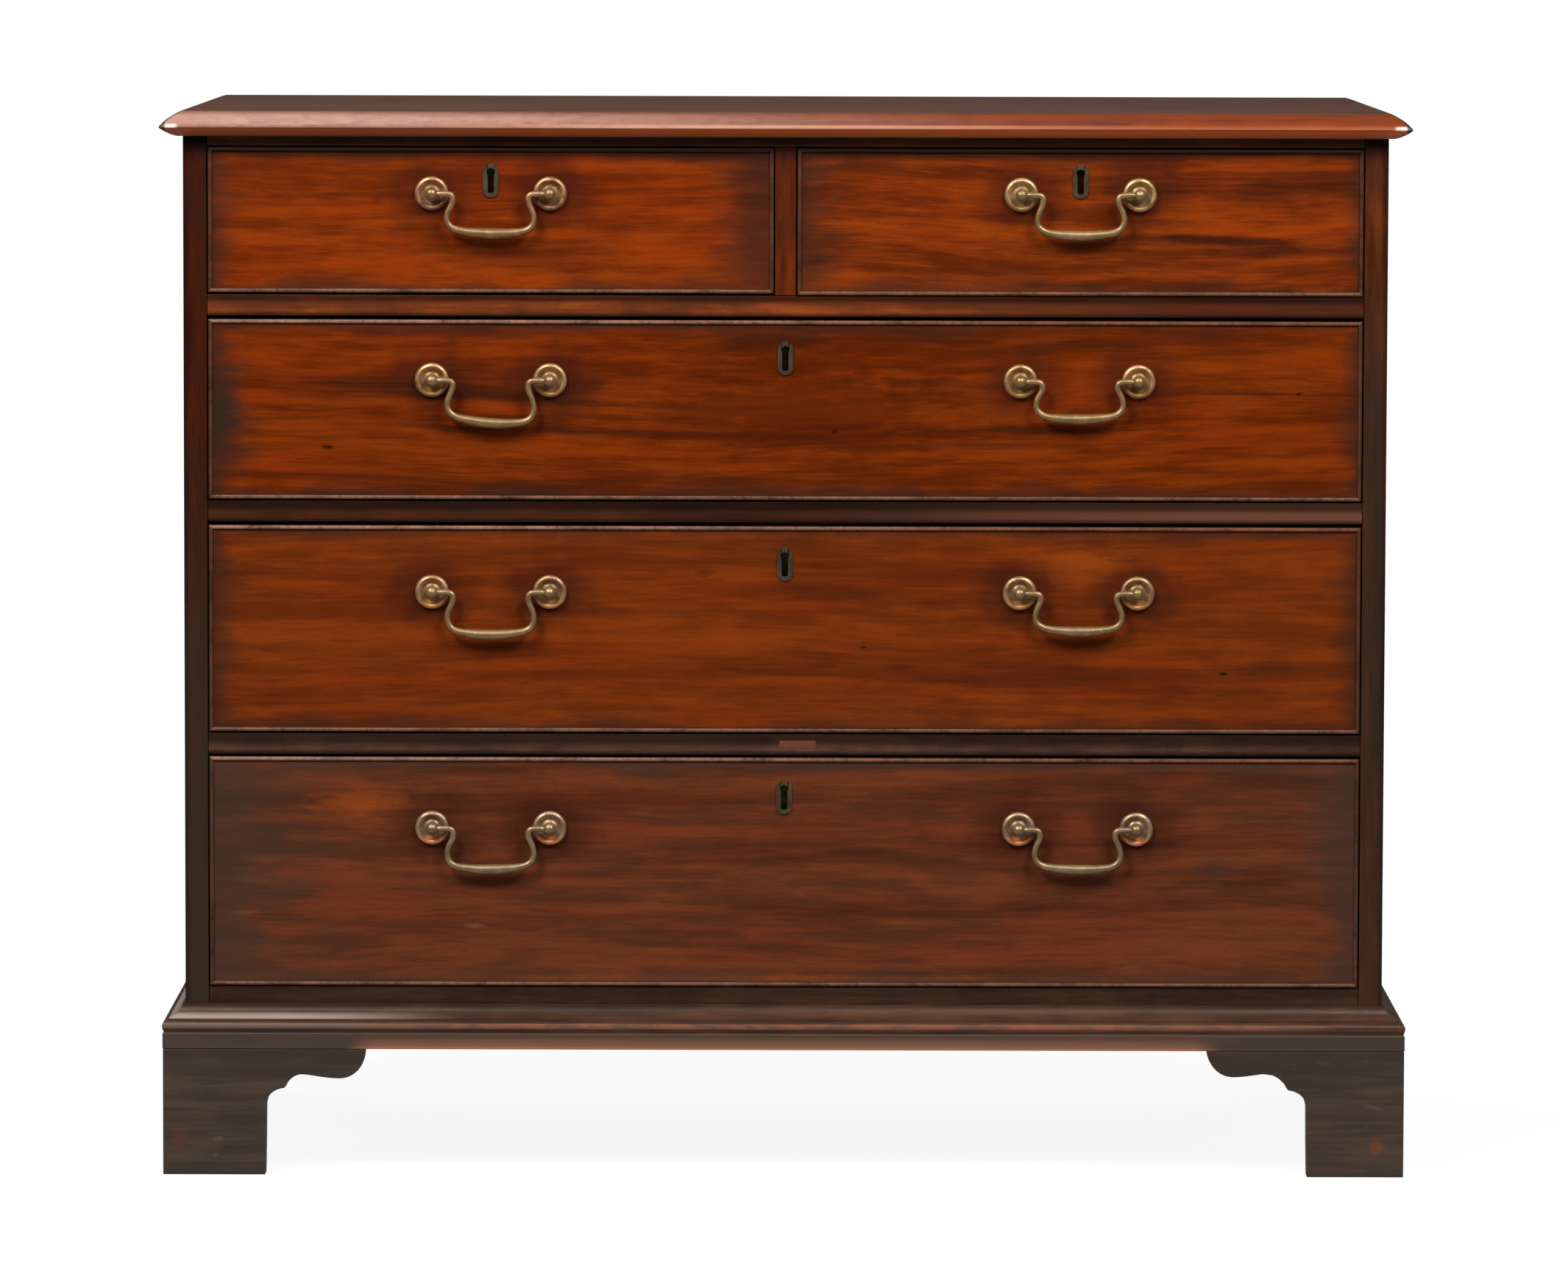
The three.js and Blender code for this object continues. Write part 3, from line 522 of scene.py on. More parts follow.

# The base: a frame under the case with a moulding planted on its three shown sides, all mitred at
# the front corners. The moulding's bead and the frame's lower arris are knocked and worn pale, and
# painted highlights lie along the bead's left and in the cove at the left.
BASE_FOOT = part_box("base_moulding")[0].z
FRAME_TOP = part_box("side_left")[0].z - 0.0003
FRAME_OUT = 0.0186
FRAME_WIDE = 0.060
FRAME_SECTION = [
    (-FRAME_WIDE, BASE_FOOT), (FRAME_OUT, BASE_FOOT), (FRAME_OUT, FRAME_TOP - 0.0012),
    (FRAME_OUT - 0.0010, FRAME_TOP), (-FRAME_WIDE, FRAME_TOP),
]
PLANTED_BEAD = mm(
    (17.8, 0.0), (17.8, 0.8), (18.4, 2.2), (19.0, 4.8), (18.6, 7.2), (16.5, 9.2), (13.3, 9.8),
)
PLANTED_COVE = mm((13.3, 11.5), (10.8, 12.3), (7.0, 14.3), (4.2, 17.4), (2.8, 20.6), (2.6, 22.8))


def base_finish():
    """Dull waxed mahogany, rubbed pale along the bead and on the frame between the feet. The bead's
    pale line is painted lighter toward the left as a highlight, and a painted highlight lies in the cove
    at the left."""
    wood = Finish("base mahogany", gloss=0.3, bump=0.2, specular=0.3)
    wood.grow(seed=21.0, wander=0.01, streaks=0.4, pale=(90, 60, 43), deep=(60, 41, 31), dark=(36, 25, 20))
    figure = wood.color
    x, _, z = wood.position.axes()
    at_left = x.ramp(-0.26, -0.43)
    between_feet = abs(x).ramp(0.375, 0.345)
    on_frame = z.ramp(FRAME_TOP + 0.0004, FRAME_TOP - 0.0004)
    wood.paint(on_frame * 0.75, (74, 64, 56))
    down = z.ramp(FRAME_TOP - 0.001, BASE_FOOT + 0.0015)
    rubbed_down = mixed(down, (88, 63, 51), (160, 114, 88))
    wood.paint(between_feet * on_frame * 0.8, mixed(0.3, rubbed_down, figure))
    # The bead's crest is worn pale, and painted paler toward the left as a highlight.
    crest_line = z.stroke(FRAME_TOP + 0.0058, 0.0030, 0.0010) * x.ramp(0.48, 0.42, 0.1, 1.0)
    wood.paint(crest_line * 0.38, mixed(at_left, (144, 104, 88), (150, 132, 120)))
    broken = wood.patches(size=0.008, amount=0.5, soft=0.1, stretch=(0.25, 0.25, 1))
    wood.paint(crest_line * broken * x.ramp(-0.45, -0.20, 0.1, 0.45), (176, 96, 54))
    foot_line = z.stroke(BASE_FOOT + 0.0008, 0.0020, 0.0006) * between_feet
    wood.paint(foot_line * 0.55, (180, 118, 80))
    # A painted highlight in the lower cove at the left.
    low_cove = z.ramp(FRAME_TOP + 0.0170, FRAME_TOP + 0.0125)
    above_bead = z.ramp(FRAME_TOP + 0.0105, FRAME_TOP + 0.0115)
    wood.paint(low_cove * above_bead * at_left * 0.8, (180, 162, 150))
    return wood.done()


def prism(points, carry):
    """A face through points, extruded to where a matrix carries it."""
    bm = bmesh.new()
    extruded(bm, [bm.faces.new([bm.verts.new(point) for point in points])], carry)
    return bm


def mitred_lengths(name, section, material):
    """One section run along the front and both sides, as three lengths mitred at the front corners."""
    left = [to_front_mitre(CASE_LEFT, FACE) @ Vector((CASE_LEFT - out, 0, up)) for out, up in section]
    right = [ACROSS @ point for point in left]
    to_back = to_depth(CASE_BACK)
    for part, points, carry in (("left", left, to_back), ("front", left, ACROSS), ("right", right, to_back)):
        bm = prism(points, carry)
        made_piece(bm, f"{name}_{part}", "case", "base_moulding", material)


def board(low, high):
    """A squared board between two corners."""
    low, high = Vector(low), Vector(high)
    place = Matrix.Translation((low + high) / 2) @ Matrix.Diagonal((*(high - low), 1))
    bm = bmesh.new()
    bmesh.ops.create_cube(bm, size=1, matrix=place)
    return bm


base_wood = base_finish()
mitred_lengths("base_frame", FRAME_SECTION, base_wood)
planted = [(0.0003, 0.0), *drawn(PLANTED_BEAD), *drawn(PLANTED_COVE), (0.0003, PLANTED_COVE[-1][1])]
planted = [(out, FRAME_TOP + 0.0001 + up) for out, up in planted]
mitred_lengths("base_mould", planted, base_wood)
inset = FRAME_WIDE + 0.0005
rail_low = (CASE_LEFT + inset, CASE_BACK - FRAME_WIDE, BASE_FOOT)
rail = board(rail_low, (CASE_RIGHT - inset, CASE_BACK, FRAME_TOP))
made_piece(rail, "base_frame_back", "case", "base_moulding", base_wood)

# The feet: bracket feet of two scrolled mahogany boards mitred at the corner, with a pine block
# glued in the angle. The rear feet have a plain bracket across the back. Floors and brooms have
# left them nearly black, with rounded corners and a few pale knocks.
LEG = mm((88.4, 0.0), (89.0, 30.0), (89.3, 60.0))
QUIRK = mm((90.5, 64.8), (92.5, 68.5), (96.5, 71.8), (101.5, 73.8), (105.0, 74.4))
COVE = mm((106.8, 76.8), (109.0, 80.5), (113.5, 84.3), (118.5, 86.1))
LOBE = mm(
    (125.5, 85.7), (136.0, 84.1), (148.0, 82.8), (157.0, 83.1), (164.5, 86.2), (170.0, 91.3),
    (173.5, 97.5), (174.8, 104.0), (175.0, 107.7),
)
BRACKET_THICK = 0.019
BLOCK_WIDE, BLOCK_LIFT = 0.055, 0.003
FOOT_TALL = 0.1077
PLAIN_LEG, PLAIN_REACH = 0.055, 0.130
LOBE_START, LOBE_BLEND, HEAD_BLEND = 0.112, 0.016, 0.012


def mark_effect():
    """One old mark: a soft oval with a ragged rim, that may slope across the grain."""
    usual = {"Position": (0, 0, 0), "Middle": (0, 0, 0), "Half Size": (0.01, 1, 0.01), "Slope": 0.0}
    tree, (position, middle, half_size, slope), out = effect("Mark", usual)
    x, _, z = (position - middle).axes()
    away = (vector(x=x, z=z + x * slope) / half_size).length()
    ragged = (position * (40, 1, 150)).clouds(detail=4.0, roughness=0.65) - 0.5
    feed(out["Mask"], (away + ragged * 1.6).ramp(1.0, 0.2))
    return tree


MARK = mark_effect()


def mark(wood, marks):
    """Lays old marks on a wood: each is (x, z, half width, half height, slope, strength, colour)."""
    for x, z, wide, tall, slope, strength, stain in marks:
        size = (wide, 1, tall)
        oval = {"Position": wood.position, "Middle": (x, 0, z), "Half Size": size, "Slope": slope}
        wood.paint(laid(MARK, oval)[0] * strength, stain)


FOOT_MARKS = [
    (-0.515, 0.030, 0.010, 0.018, 0.0, 0.4, (104, 52, 40)),
    (-0.480, 0.031, 0.006, 0.003, 0.0, 0.5, (116, 92, 76)),
    (-0.474, 0.023, 0.005, 0.002, 0.0, 0.5, (36, 30, 26)),
    (-0.483, 0.017, 0.004, 0.002, 0.0, 0.4, (112, 90, 74)),
    (0.502, 0.060, 0.015, 0.003, 0.2, 0.28, (112, 96, 88)),
    (0.459, 0.098, 0.010, 0.002, 0.1, 0.22, (104, 88, 80)),
    (0.505, 0.026, 0.009, 0.010, 0.0, 0.7, (126, 66, 30)),
]


def foot_finish():
    wood = Finish("foot mahogany", gloss=0.4, bump=0.25, specular=0.3)
    wood.grow(seed=27.0, wander=0.02, streaks=0.4, pale=(80, 65, 54), deep=(60, 50, 42), dark=(34, 30, 26))
    wood.paint(wood.patches(size=0.006, amount=0.12, soft=0.04) * 0.4, (110, 84, 68))
    mark(wood, FOOT_MARKS)
    return wood.done()


def saw_off(bm, place, beyond):
    """Saws off what lies beyond a plane."""
    plane = {"plane_co": place, "plane_no": beyond, "clear_outer": True}
    bmesh.ops.bisect_plane(bm, geom=[*bm.verts, *bm.edges, *bm.faces], dist=0.0000001, **plane)


def bracket(outline, foot, part, place, material):
    """A bracket board drawn from its foot's outer corner, mitred there, then carried to its place."""
    bm = prism([(-along, 0, up) for along, up in outline], Matrix.Translation((0, BRACKET_THICK, 0)))
    saw_off(bm, (0, 0, 0), (1, 1, 0))
    bmesh.ops.holes_fill(bm, edges=[e for e in bm.edges if e.is_boundary], sides=0)
    bmesh.ops.transform(bm, matrix=place, verts=bm.verts)
    made_piece(bm, f"{foot}_{part}", "case", foot, material, arris=0.0007)


foot_wood = foot_finish()
block_wood = plain_finish("glue block pine", (140, 104, 70), (104, 76, 50), UPRIGHT, seed=6.0)
scroll = [(0, 0), *drawn(LEG, 1), *drawn(QUIRK, 3), *drawn(COVE, 3), *drawn(LOBE, 4), (0, FOOT_TALL)]
plain = [(0, 0), (PLAIN_LEG, 0), (PLAIN_LEG, FOOT_TALL / 2), (PLAIN_REACH, FOOT_TALL), (0, FOOT_TALL)]
MITRE_MIRROR = Matrix(((0, -1, 0, 0), (-1, 0, 0, 0), (0, 0, 1, 0), (0, 0, 0, 1)))
SIDE_CUT = (0.966, 0.966, 0.0)
FACE_CUT = {"foot_front_left": (0.985, 0.985, 0.0), "foot_front_right": (0.93, 0.988, 0.0030)}


def hand_cut(outline, leg_width, scroll_width, lift):
    """A scroll as it was sawn by hand: its leg and its scroll wider or narrower, its lobe higher."""
    leg = LEG[-1][0]
    cut = []
    for along, up in outline:
        beyond = max(along - leg, 0)
        share = min(max((along - LOBE_START) / LOBE_BLEND, 0), 1) * min((FOOT_TALL - up) / HEAD_BLEND, 1)
        cut.append((min(along, leg) * leg_width + beyond * scroll_width, up + lift * share))
    return cut


for foot in ("foot_front_left", "foot_front_right", "foot_back_left", "foot_back_right"):
    low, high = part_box(foot)
    at_left, at_front = "left" in foot, "front" in foot
    corner = Vector((low.x if at_left else high.x, low.y if at_front else high.y, 0))
    place = Matrix.Translation(corner) @ Matrix.Diagonal((-1 if at_left else 1, 1 if at_front else -1, 1, 1))
    face_outline = hand_cut(scroll, *FACE_CUT[foot]) if at_front else plain
    bracket(face_outline, foot, "face_bracket", place, foot_wood)
    bracket(hand_cut(scroll, *SIDE_CUT), foot, "side_bracket", place @ MITRE_MIRROR, foot_wood)
    block = board((-BLOCK_WIDE, BRACKET_THICK, BLOCK_LIFT), (-BRACKET_THICK, BLOCK_WIDE, FOOT_TALL))
    bmesh.ops.transform(block, matrix=place, verts=block.verts)
    made_piece(block, f"{foot}_block", "case", foot, block_wood, arris=0.0015)

# The drawer fronts: solid mahogany boards with the showy grain along them. Wax and hands have
# darkened them at the ends, along the beads and round the handles. Painted shadow darkens the
# short drawers' heads under the top.
DIRT, GREY, WARM = (44, 20, 10), (62, 48, 38), (160, 74, 18)
PALE, KNOT = (150, 108, 78), (36, 16, 8)
# For each drawer, figure is its wood's seed, wander, streaks, pale and deep colour, and ends is how
# far the dirt reaches in at its left and right. Trim is how much is planed off the front's foot and
# head, and plate is how far its escutcheon's middle is above the handles' posts.
DRAWERS = {
    "short_left": {
        "figure": (31.0, 0.02, 0.35, (144, 57, 7), (102, 37, 4)),
        "ends": (0.038, 0.060), "trim": (0.0013, 0.0), "plate": 0.011,
        "marks": [
            (-0.400, 0.833, 0.085, 0.006, 0.0, 0.45, DIRT), (-0.225, 0.783, 0.115, 0.017, 0.0, 0.42, DIRT),
            (-0.030, 0.826, 0.024, 0.060, 0.0, 0.35, DIRT),
        ],
    },
    "short_right": {
        "figure": (37.0, 0.075, 0.65, (146, 60, 9), (92, 35, 6)),
        "ends": (0.046, 0.020), "trim": (0.0, 0.0), "plate": 0.011,
        "marks": [
            (0.398, 0.833, 0.105, 0.008, 0.06, 0.5, DIRT), (0.380, 0.796, 0.125, 0.007, 0.05, 0.7, DIRT),
        ],
    },
    "long_upper": {
        "figure": (43.0, 0.04, 0.8, (132, 52, 4), (90, 33, 2)),
        "ends": (0.044, 0.026), "trim": (0.0010, 0.0016), "plate": 0.019,
        "marks": [
            (0.020, 0.650, 0.190, 0.060, 0.0, 0.6, (70, 22, 2)),
            (-0.482, 0.650, 0.028, 0.060, 0.0, 0.85, (48, 38, 32)),
            (-0.172, 0.672, 0.030, 0.018, 0.0, 0.5, DIRT), (-0.010, 0.710, 0.070, 0.010, 0.0, 0.5, DIRT),
            (0.114, 0.676, 0.110, 0.006, 0.03, 0.45, DIRT), (0.180, 0.636, 0.120, 0.005, 0.0, 0.45, DIRT),
            (-0.388, 0.620, 0.007, 0.003, 0.0, 0.9, KNOT), (0.042, 0.635, 0.003, 0.002, 0.0, 0.9, KNOT),
            (0.435, 0.667, 0.003, 0.002, 0.0, 0.9, KNOT),
        ],
    },
    "long_middle": {
        "figure": (53.0, 0.035, 0.45, (130, 55, 9), (99, 41, 8)),
        "ends": (0.036, 0.026), "trim": (0.0009, 0.0015), "plate": 0.024,
        "marks": [
            (0.252, 0.520, 0.060, 0.022, 0.0, 0.5, WARM), (0.373, 0.429, 0.004, 0.002, 0.0, 0.9, KNOT),
            (0.067, 0.451, 0.004, 0.002, 0.0, 0.8, KNOT), (-0.070, 0.513, 0.009, 0.005, 0.0, 0.35, DIRT),
        ],
    },
    "long_lower": {
        "figure": (61.0, 0.04, 0.5, (116, 57, 29), (83, 45, 27)),
        "ends": (0.115, 0.070), "trim": (0.0, 0.0009), "plate": 0.0265,
        "marks": [
            (-0.360, 0.316, 0.052, 0.018, 0.0, 0.5, WARM), (-0.263, 0.212, 0.012, 0.003, 0.0, 0.3, PALE),
            (0.370, 0.262, 0.030, 0.014, 0.0, 0.5, GREY), (0.0, 0.167, 0.430, 0.004, 0.0, 0.5, WARM),
            (-0.450, 0.250, 0.022, 0.004, 0.1, 0.18, PALE), (-0.462, 0.222, 0.016, 0.003, -0.1, 0.18, PALE),
        ],
    },
}
HANDLE_SPACING = 0.100
HANDLE_OFF = 0.2495
BEAD_WIDE, BEAD_PROUD, BEAD_DEEP, BEAD_EASE = 0.0036, 0.0021, 0.0080, 0.0004


def border_effect():
    """Dirt that gathers along a panel's four edges, deeper at its two ends, with a ragged inner limit."""
    reaches = {"Left Reach": 0.03, "Right Reach": 0.03, "Edge Reach": 0.01}
    usual = {"Position": (0, 0, 0), "Low": (0, 0, 0), "High": (1, 1, 1), **reaches, "Seed": 0.0}
    tree, given, out = effect("Dirt at the border", usual)
    position, panel_low, panel_high, left_reach, right_reach, edge_reach, seed = given
    from_left, _, from_foot = (position - panel_low).axes()
    from_right, _, from_head = (panel_high - position).axes()
    ragged = ((position + vector(y=seed)) * (12, 1, 34)).clouds(detail=4.0, roughness=0.6)
    limit = reckoned("MAXIMUM", (ragged - 0.22) * 3.4, 0.2)
    ends = reckoned("MINIMUM", from_left / left_reach, from_right / right_reach)
    edges = reckoned("MINIMUM", from_foot, from_head) / edge_reach
    feed(out["Mask"], (reckoned("MINIMUM", ends, edges) / limit).ramp(1.0, 0.0))
    return tree


def halo_effect():
    """A dark ring of wax and polish round each handle post."""
    usual = {"Position": (0, 0, 0), "Middle": (0, 0, 0), "Handle Off": 0.0, "Reach": 0.03}
    tree, (position, middle, handle_off, reach), out = effect("Dirt round handles", usual)
    x, _, z = (position - middle).axes()
    to_post = abs(abs(x) - handle_off) - HANDLE_SPACING / 2
    away = reckoned("SQRT", (to_post * 0.75) ** 2.0 + z**2.0)
    wobble = (position.clouds(scale=45.0) - 0.5) * 0.03
    feed(out["Mask"], (away + wobble).ramp(reach, 0.012))
    return tree


BORDER = border_effect()
HALO = halo_effect()


def front_finish(name, look):
    """A drawer front's own board: its figure, then its dirt at the ends, edges and handles, and
    painted shadow at the heads of the short drawers.
    """
    wood = Finish(f"{name} front mahogany", gloss=0.3, bump=0.12, specular=0.12)
    wood.grow(*look["figure"], dark=(52, 22, 10), redden=0.3)
    mark(wood, look["marks"])
    low, high, (left_reach, right_reach) = look["low"], look["high"], look["ends"]
    reaches = {"Left Reach": left_reach, "Right Reach": right_reach, "Edge Reach": 0.019}
    panel = {"Position": wood.position, "Low": low, "High": high, "Seed": look["figure"][0]}
    old_dirt = (62, 50, 42) if name == "long_lower" else (48, 33, 25)
    wood.paint(laid(BORDER, {**panel, **reaches})[0] * 0.74, old_dirt)
    # Painted shadow under the top's overhang across the short drawers' heads.
    if name.startswith("short"):
        _, _, z = wood.position.axes()
        wood.paint(z.ramp(high.z - 0.0140, high.z - 0.0040, 0, 0.62), (30, 13, 7))
    middle = Vector(((low.x + high.x) / 2, 0, look["post_z"]))
    off = HANDLE_OFF if name.startswith("long") else 0.0
    halo = laid(HALO, {"Position": wood.position, "Middle": middle, "Handle Off": off, "Reach": 0.042})[0]
    wood.paint(halo * 0.6, (52, 22, 14))
    return wood.done()


def sawn_copy(node, *cuts):
    """A merged copy of a CAD node with what lies beyond each plane sawn off and the cut closed."""
    bm = bmesh.new()
    bm.from_mesh(frame["nodes"][node].data)
    bmesh.ops.remove_doubles(bm, verts=bm.verts, dist=0.000002)
    for place, beyond in cuts:
        saw_off(bm, place, beyond)
        bmesh.ops.triangle_fill(bm, use_beauty=True, edges=[e for e in bm.edges if e.is_boundary])
    bmesh.ops.dissolve_limit(bm, angle_limit=0.01, verts=bm.verts, edges=bm.edges)
    return bm


for name, look in DRAWERS.items():
    low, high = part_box(f"{name}_front")
    post_low, post_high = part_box(f"{name}_post_1")
    worn_foot, worn_head = look["trim"]
    look["low"], look["high"] = Vector((low.x, FACE, low.z + worn_foot)), high - Vector((0, 0, worn_head))
    look["post_z"] = (post_low.z + post_high.z) / 2
    front = sawn_copy(
        f"{name}_front",
        ((0, FACE + 0.00002, 0), (0, -1, 0)),
        ((0, 0, look["low"].z), (0, 0, -1)),
        ((0, 0, look["high"].z), (0, 0, 1)),
    )
    wood = front_finish(name, look)
    made_piece(front, f"{name}_board", name, f"{name}_front", wood, arris=0.0)

# The cock beads: thin strips of mahogany with a rounded nose, glued round the edges of each front
# and mitred at its corners. Their noses are rubbed to a pale line, with painted light and shade:
# lighter on the upper beads, darker on the uprights and close under the top.


def bead_finish(kind, left_nose_and_light, right_nose_and_light, strength):
    """Dark mahogany with its nose rubbed to one colour at the left and another at the right; these
    colours hold painted light and shade by the bead's place. Close under the top it gets painted shade."""
    wood = Finish(f"{kind} bead mahogany", gloss=0.32, bump=0.1, specular=0.2, color=(46, 26, 17))
    x, y, z = wood.position.axes()
    rubbed_and_lit = wood.patches(size=0.03, amount=0.62, soft=0.2)
    nicked = wood.patches(size=0.004, amount=0.62, soft=0.1)
    nose = y.ramp(FACE - 0.0006, FACE - 0.0017)
    rub_and_light = mixed(x.ramp(-0.35, 0.35), left_nose_and_light, right_nose_and_light)
    wood.paint(nose * (rubbed_and_lit * 0.65 + nicked * 0.35) * strength, rub_and_light)
    # Painted shade close under the top.
    wood.paint(z.ramp(UNDER_TOP_SHADE_FOOT, UNDER_TOP_SHADE_FOOT + 0.016, 0, 0.6), (22, 12, 8))
    feed(wood.height, nicked)
    return wood.done()


def bead_strip(name, side, low, high, material):
    """One strip, drawn at its left or lower mitre as (in from the edge, out of the face) and carried
    to the mirrored mitre at its other end."""
    nose = []
    for i in range(9):
        angle = math.pi * i / 8
        across = BEAD_WIDE / 2 * (1 - math.cos(angle))
        nose.append((across, -BEAD_EASE - (BEAD_PROUD - BEAD_EASE) * math.sin(angle)))
    section = [(-0.00015, BEAD_DEEP), (-0.00015, -0.0002), *nose]
    section += [(BEAD_WIDE, 0.0002), (0.0001, 0.0002), (0.0001, BEAD_DEEP)]
    middle = (low + high) / 2
    z_end, z_way = (high.z, -1) if side == "upper" else (low.z, 1)
    x_end, x_way = (high.x, -1) if side == "right" else (low.x, 1)
    points = [(x_end + x_way * inset, FACE + out, z_end + z_way * inset) for inset, out in section]
    flip = ACROSS if side in ("upper", "lower") else Matrix.Diagonal((1, 1, -1, 1))
    bm = prism(points, Matrix.Translation(middle) @ flip @ Matrix.Translation(-middle))
    made_piece(bm, f"{name}_bead_{side}", name, f"{name}_front", material, arris=0.0)


# Each kind of bead: its rub colour at the left and at the right, and its strength. The colours hold painted
# light and shade: lighter for upper beads, darker for uprights and for the shaded beads under the top.
BEAD_WEAR_AND_LIGHT = {
    "upper": ((152, 112, 92), (124, 76, 52), 1.0),
    "lower": ((132, 92, 70), (126, 84, 62), 1.0),
    "upright": ((100, 64, 46), (100, 64, 46), 0.8),
    "shaded": ((60, 36, 24), (60, 36, 24), 0.6),
}
BEAD_WOODS = {kind: bead_finish(kind, *rubs) for kind, rubs in BEAD_WEAR_AND_LIGHT.items()}
for name, look in DRAWERS.items():
    for side in ("upper", "lower", "left", "right"):
        kind = "upright" if side in ("left", "right") else side
        if name.startswith("short") and side == "upper":
            kind = "shaded"
        bead_strip(name, side, look["low"], look["high"], BEAD_WOODS[kind])

# The drawer boxes: thin oak sides dovetailed into the backs of the fronts, an oak back let in
# between them and a pine bottom in grooves.
SIDE_THICK = 0.010
SHOULDER = FACE + 0.0223
TAIL_END = FACE + 0.0063
TONGUE_END = FACE + 0.0165
TAIL_PITCH = 0.046
BOTTOM_LIFT, BOTTOM_THICK = 0.005, 0.008
BACK_THICK, BACK_DROP = 0.009, 0.008

ALONG_DEPTH = (0, 0, 90)
oak_side = plain_finish("drawer side oak", (176, 138, 94), (140, 104, 66), ALONG_DEPTH, seed=9.0)
oak_back = plain_finish("drawer back oak", (168, 130, 88), (132, 98, 62), ACROSS_CASE, seed=12.0)
pine_bottom = plain_finish("drawer bottom pine", (178, 142, 98), (146, 110, 72), ALONG_DEPTH, seed=15.0)

for name in DRAWERS:
    low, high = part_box(f"{name}_box")
    tall = high.z - low.z
    tails = round(tall / TAIL_PITCH)
    pitch = tall / tails
    end, neck = pitch * 0.36, pitch * 0.27
    outline = [(high.y, low.z), (high.y, high.z), (SHOULDER, high.z)]
    for i in reversed(range(tails)):
        middle = low.z + pitch * (i + 0.5)
        outline += [(SHOULDER, middle + neck), (TAIL_END, middle + end)]
        outline += [(TAIL_END, middle - end), (SHOULDER, middle - neck)]
    outline.append((SHOULDER, low.z))
    for side, x, way in (("left", low.x, 1), ("right", high.x, -1)):
        bm = prism([(x, y, z) for y, z in outline], Matrix.Translation((way * SIDE_THICK, 0, 0)))
        made_piece(bm, f"{name}_side_{side}", name, f"{name}_box", oak_side, arris=0.0004)
    inner_low, inner_high = low.x + SIDE_THICK, high.x - SIDE_THICK
    floor_low, floor_high = low.z + BOTTOM_LIFT, low.z + BOTTOM_LIFT + BOTTOM_THICK
    back_low = (inner_low, high.y - BACK_THICK, floor_high + 0.0001)
    bm = board(back_low, (inner_high, high.y, high.z - BACK_DROP))
    made_piece(bm, f"{name}_back", name, f"{name}_box", oak_back, arris=0.0008)
    bm = board((inner_low, TONGUE_END, floor_low), (inner_high, high.y, floor_high))
    made_piece(bm, f"{name}_bottom", name, f"{name}_box", pine_bottom, arris=0.0004)

# The locks: a brass case let into the back of each front, with its back plate and a small
# round-ended escutcheon on the face. The iron bolt is thrown up into the rail above.
KEYHOLE_TALL, KEYHOLE_HEAD, KEYHOLE_SLOT = 0.0210, 0.0036, 0.0027
PLATE_WIDE, PLATE_TALL, PLATE_THICK, PLATE_PROUD = 0.0132, 0.0285, 0.0010, 0.0013
RING_POINTS = 48
LOCK_FRONT, LOCK_BACK = FACE + 0.0060, FACE + 0.0200


def brass_finish(name, bright, tarnish, brown, gloss, rim=None):
    """Cast brass with a worn golden skin, olive tarnish and brown dirt in its hollows. Rim is for a
    handle: the colour that its rosettes' lower edges are rubbed to, with a painted reflection of the
    wood in it, its strength, and the height of its posts. What hands touch is rubbed too."""
    brass = Finish(name, gloss, bump=0.35, metallic=0.68, color=bright)
    _, depth, height = brass.position.axes()
    spots = brass.patches(size=0.005, amount=0.34, soft=0.14)
    brass.paint(brass.patches(size=0.011, amount=0.5, soft=0.24), tarnish)
    brass.paint(spots * 0.42, brown)
    brass.paint(depth.ramp(FACE - 0.0046, FACE - 0.0016) * 0.45, brown)
    if rim:
        rub_and_light, strength, post_z = rim
        # The rosettes' lower rims: rubbed, with a painted reflection of the wood below them.
        lower = height.stroke(post_z - 0.0112, 0.0062, 0.0020)
        brass.paint(lower * depth.ramp(FACE - 0.0056, FACE - 0.0050) * strength, rub_and_light)
        brass.paint(depth.ramp(FACE - 0.0066, FACE - 0.0086, 0.0, 0.5), (138, 118, 78))
    feed(brass.shader["Roughness"], spots * 0.14 + gloss)
    feed(brass.height, brass.position.clouds(scale=210.0, detail=1.0))
    return brass.done()


def iron_finish():
    iron = Finish("bolt iron", gloss=0.45, bump=0.3, metallic=0.85, color=(120, 114, 108))
    rust = iron.patches(size=0.005, amount=0.4, soft=0.12)
    iron.paint(rust * 0.7, (72, 50, 38))
    feed(iron.height, rust)
    return iron.done()


def keyhole_point(ray):
    """Where a ray from the keyhole's middle leaves it."""
    half = KEYHOLE_TALL / 2
    head = Vector((0, half - KEYHOLE_HEAD))
    reach = min(KEYHOLE_SLOT / max(abs(ray.x), 1e-9), half / max(abs(ray.y), 1e-9))
    along = ray.dot(head)
    inside = along * along - head.length_squared + KEYHOLE_HEAD**2
    if ray.y > 0 and inside > 0:
        reach = max(min(reach, head.y), along + math.sqrt(inside))
    return ray * reach


def plate_point(ray):
    """The point of the escutcheon's round-ended outline that goes with a ray."""
    radius = PLATE_WIDE / 2
    return ray * radius + Vector((0, math.copysign(PLATE_TALL / 2 - radius, ray.y)))


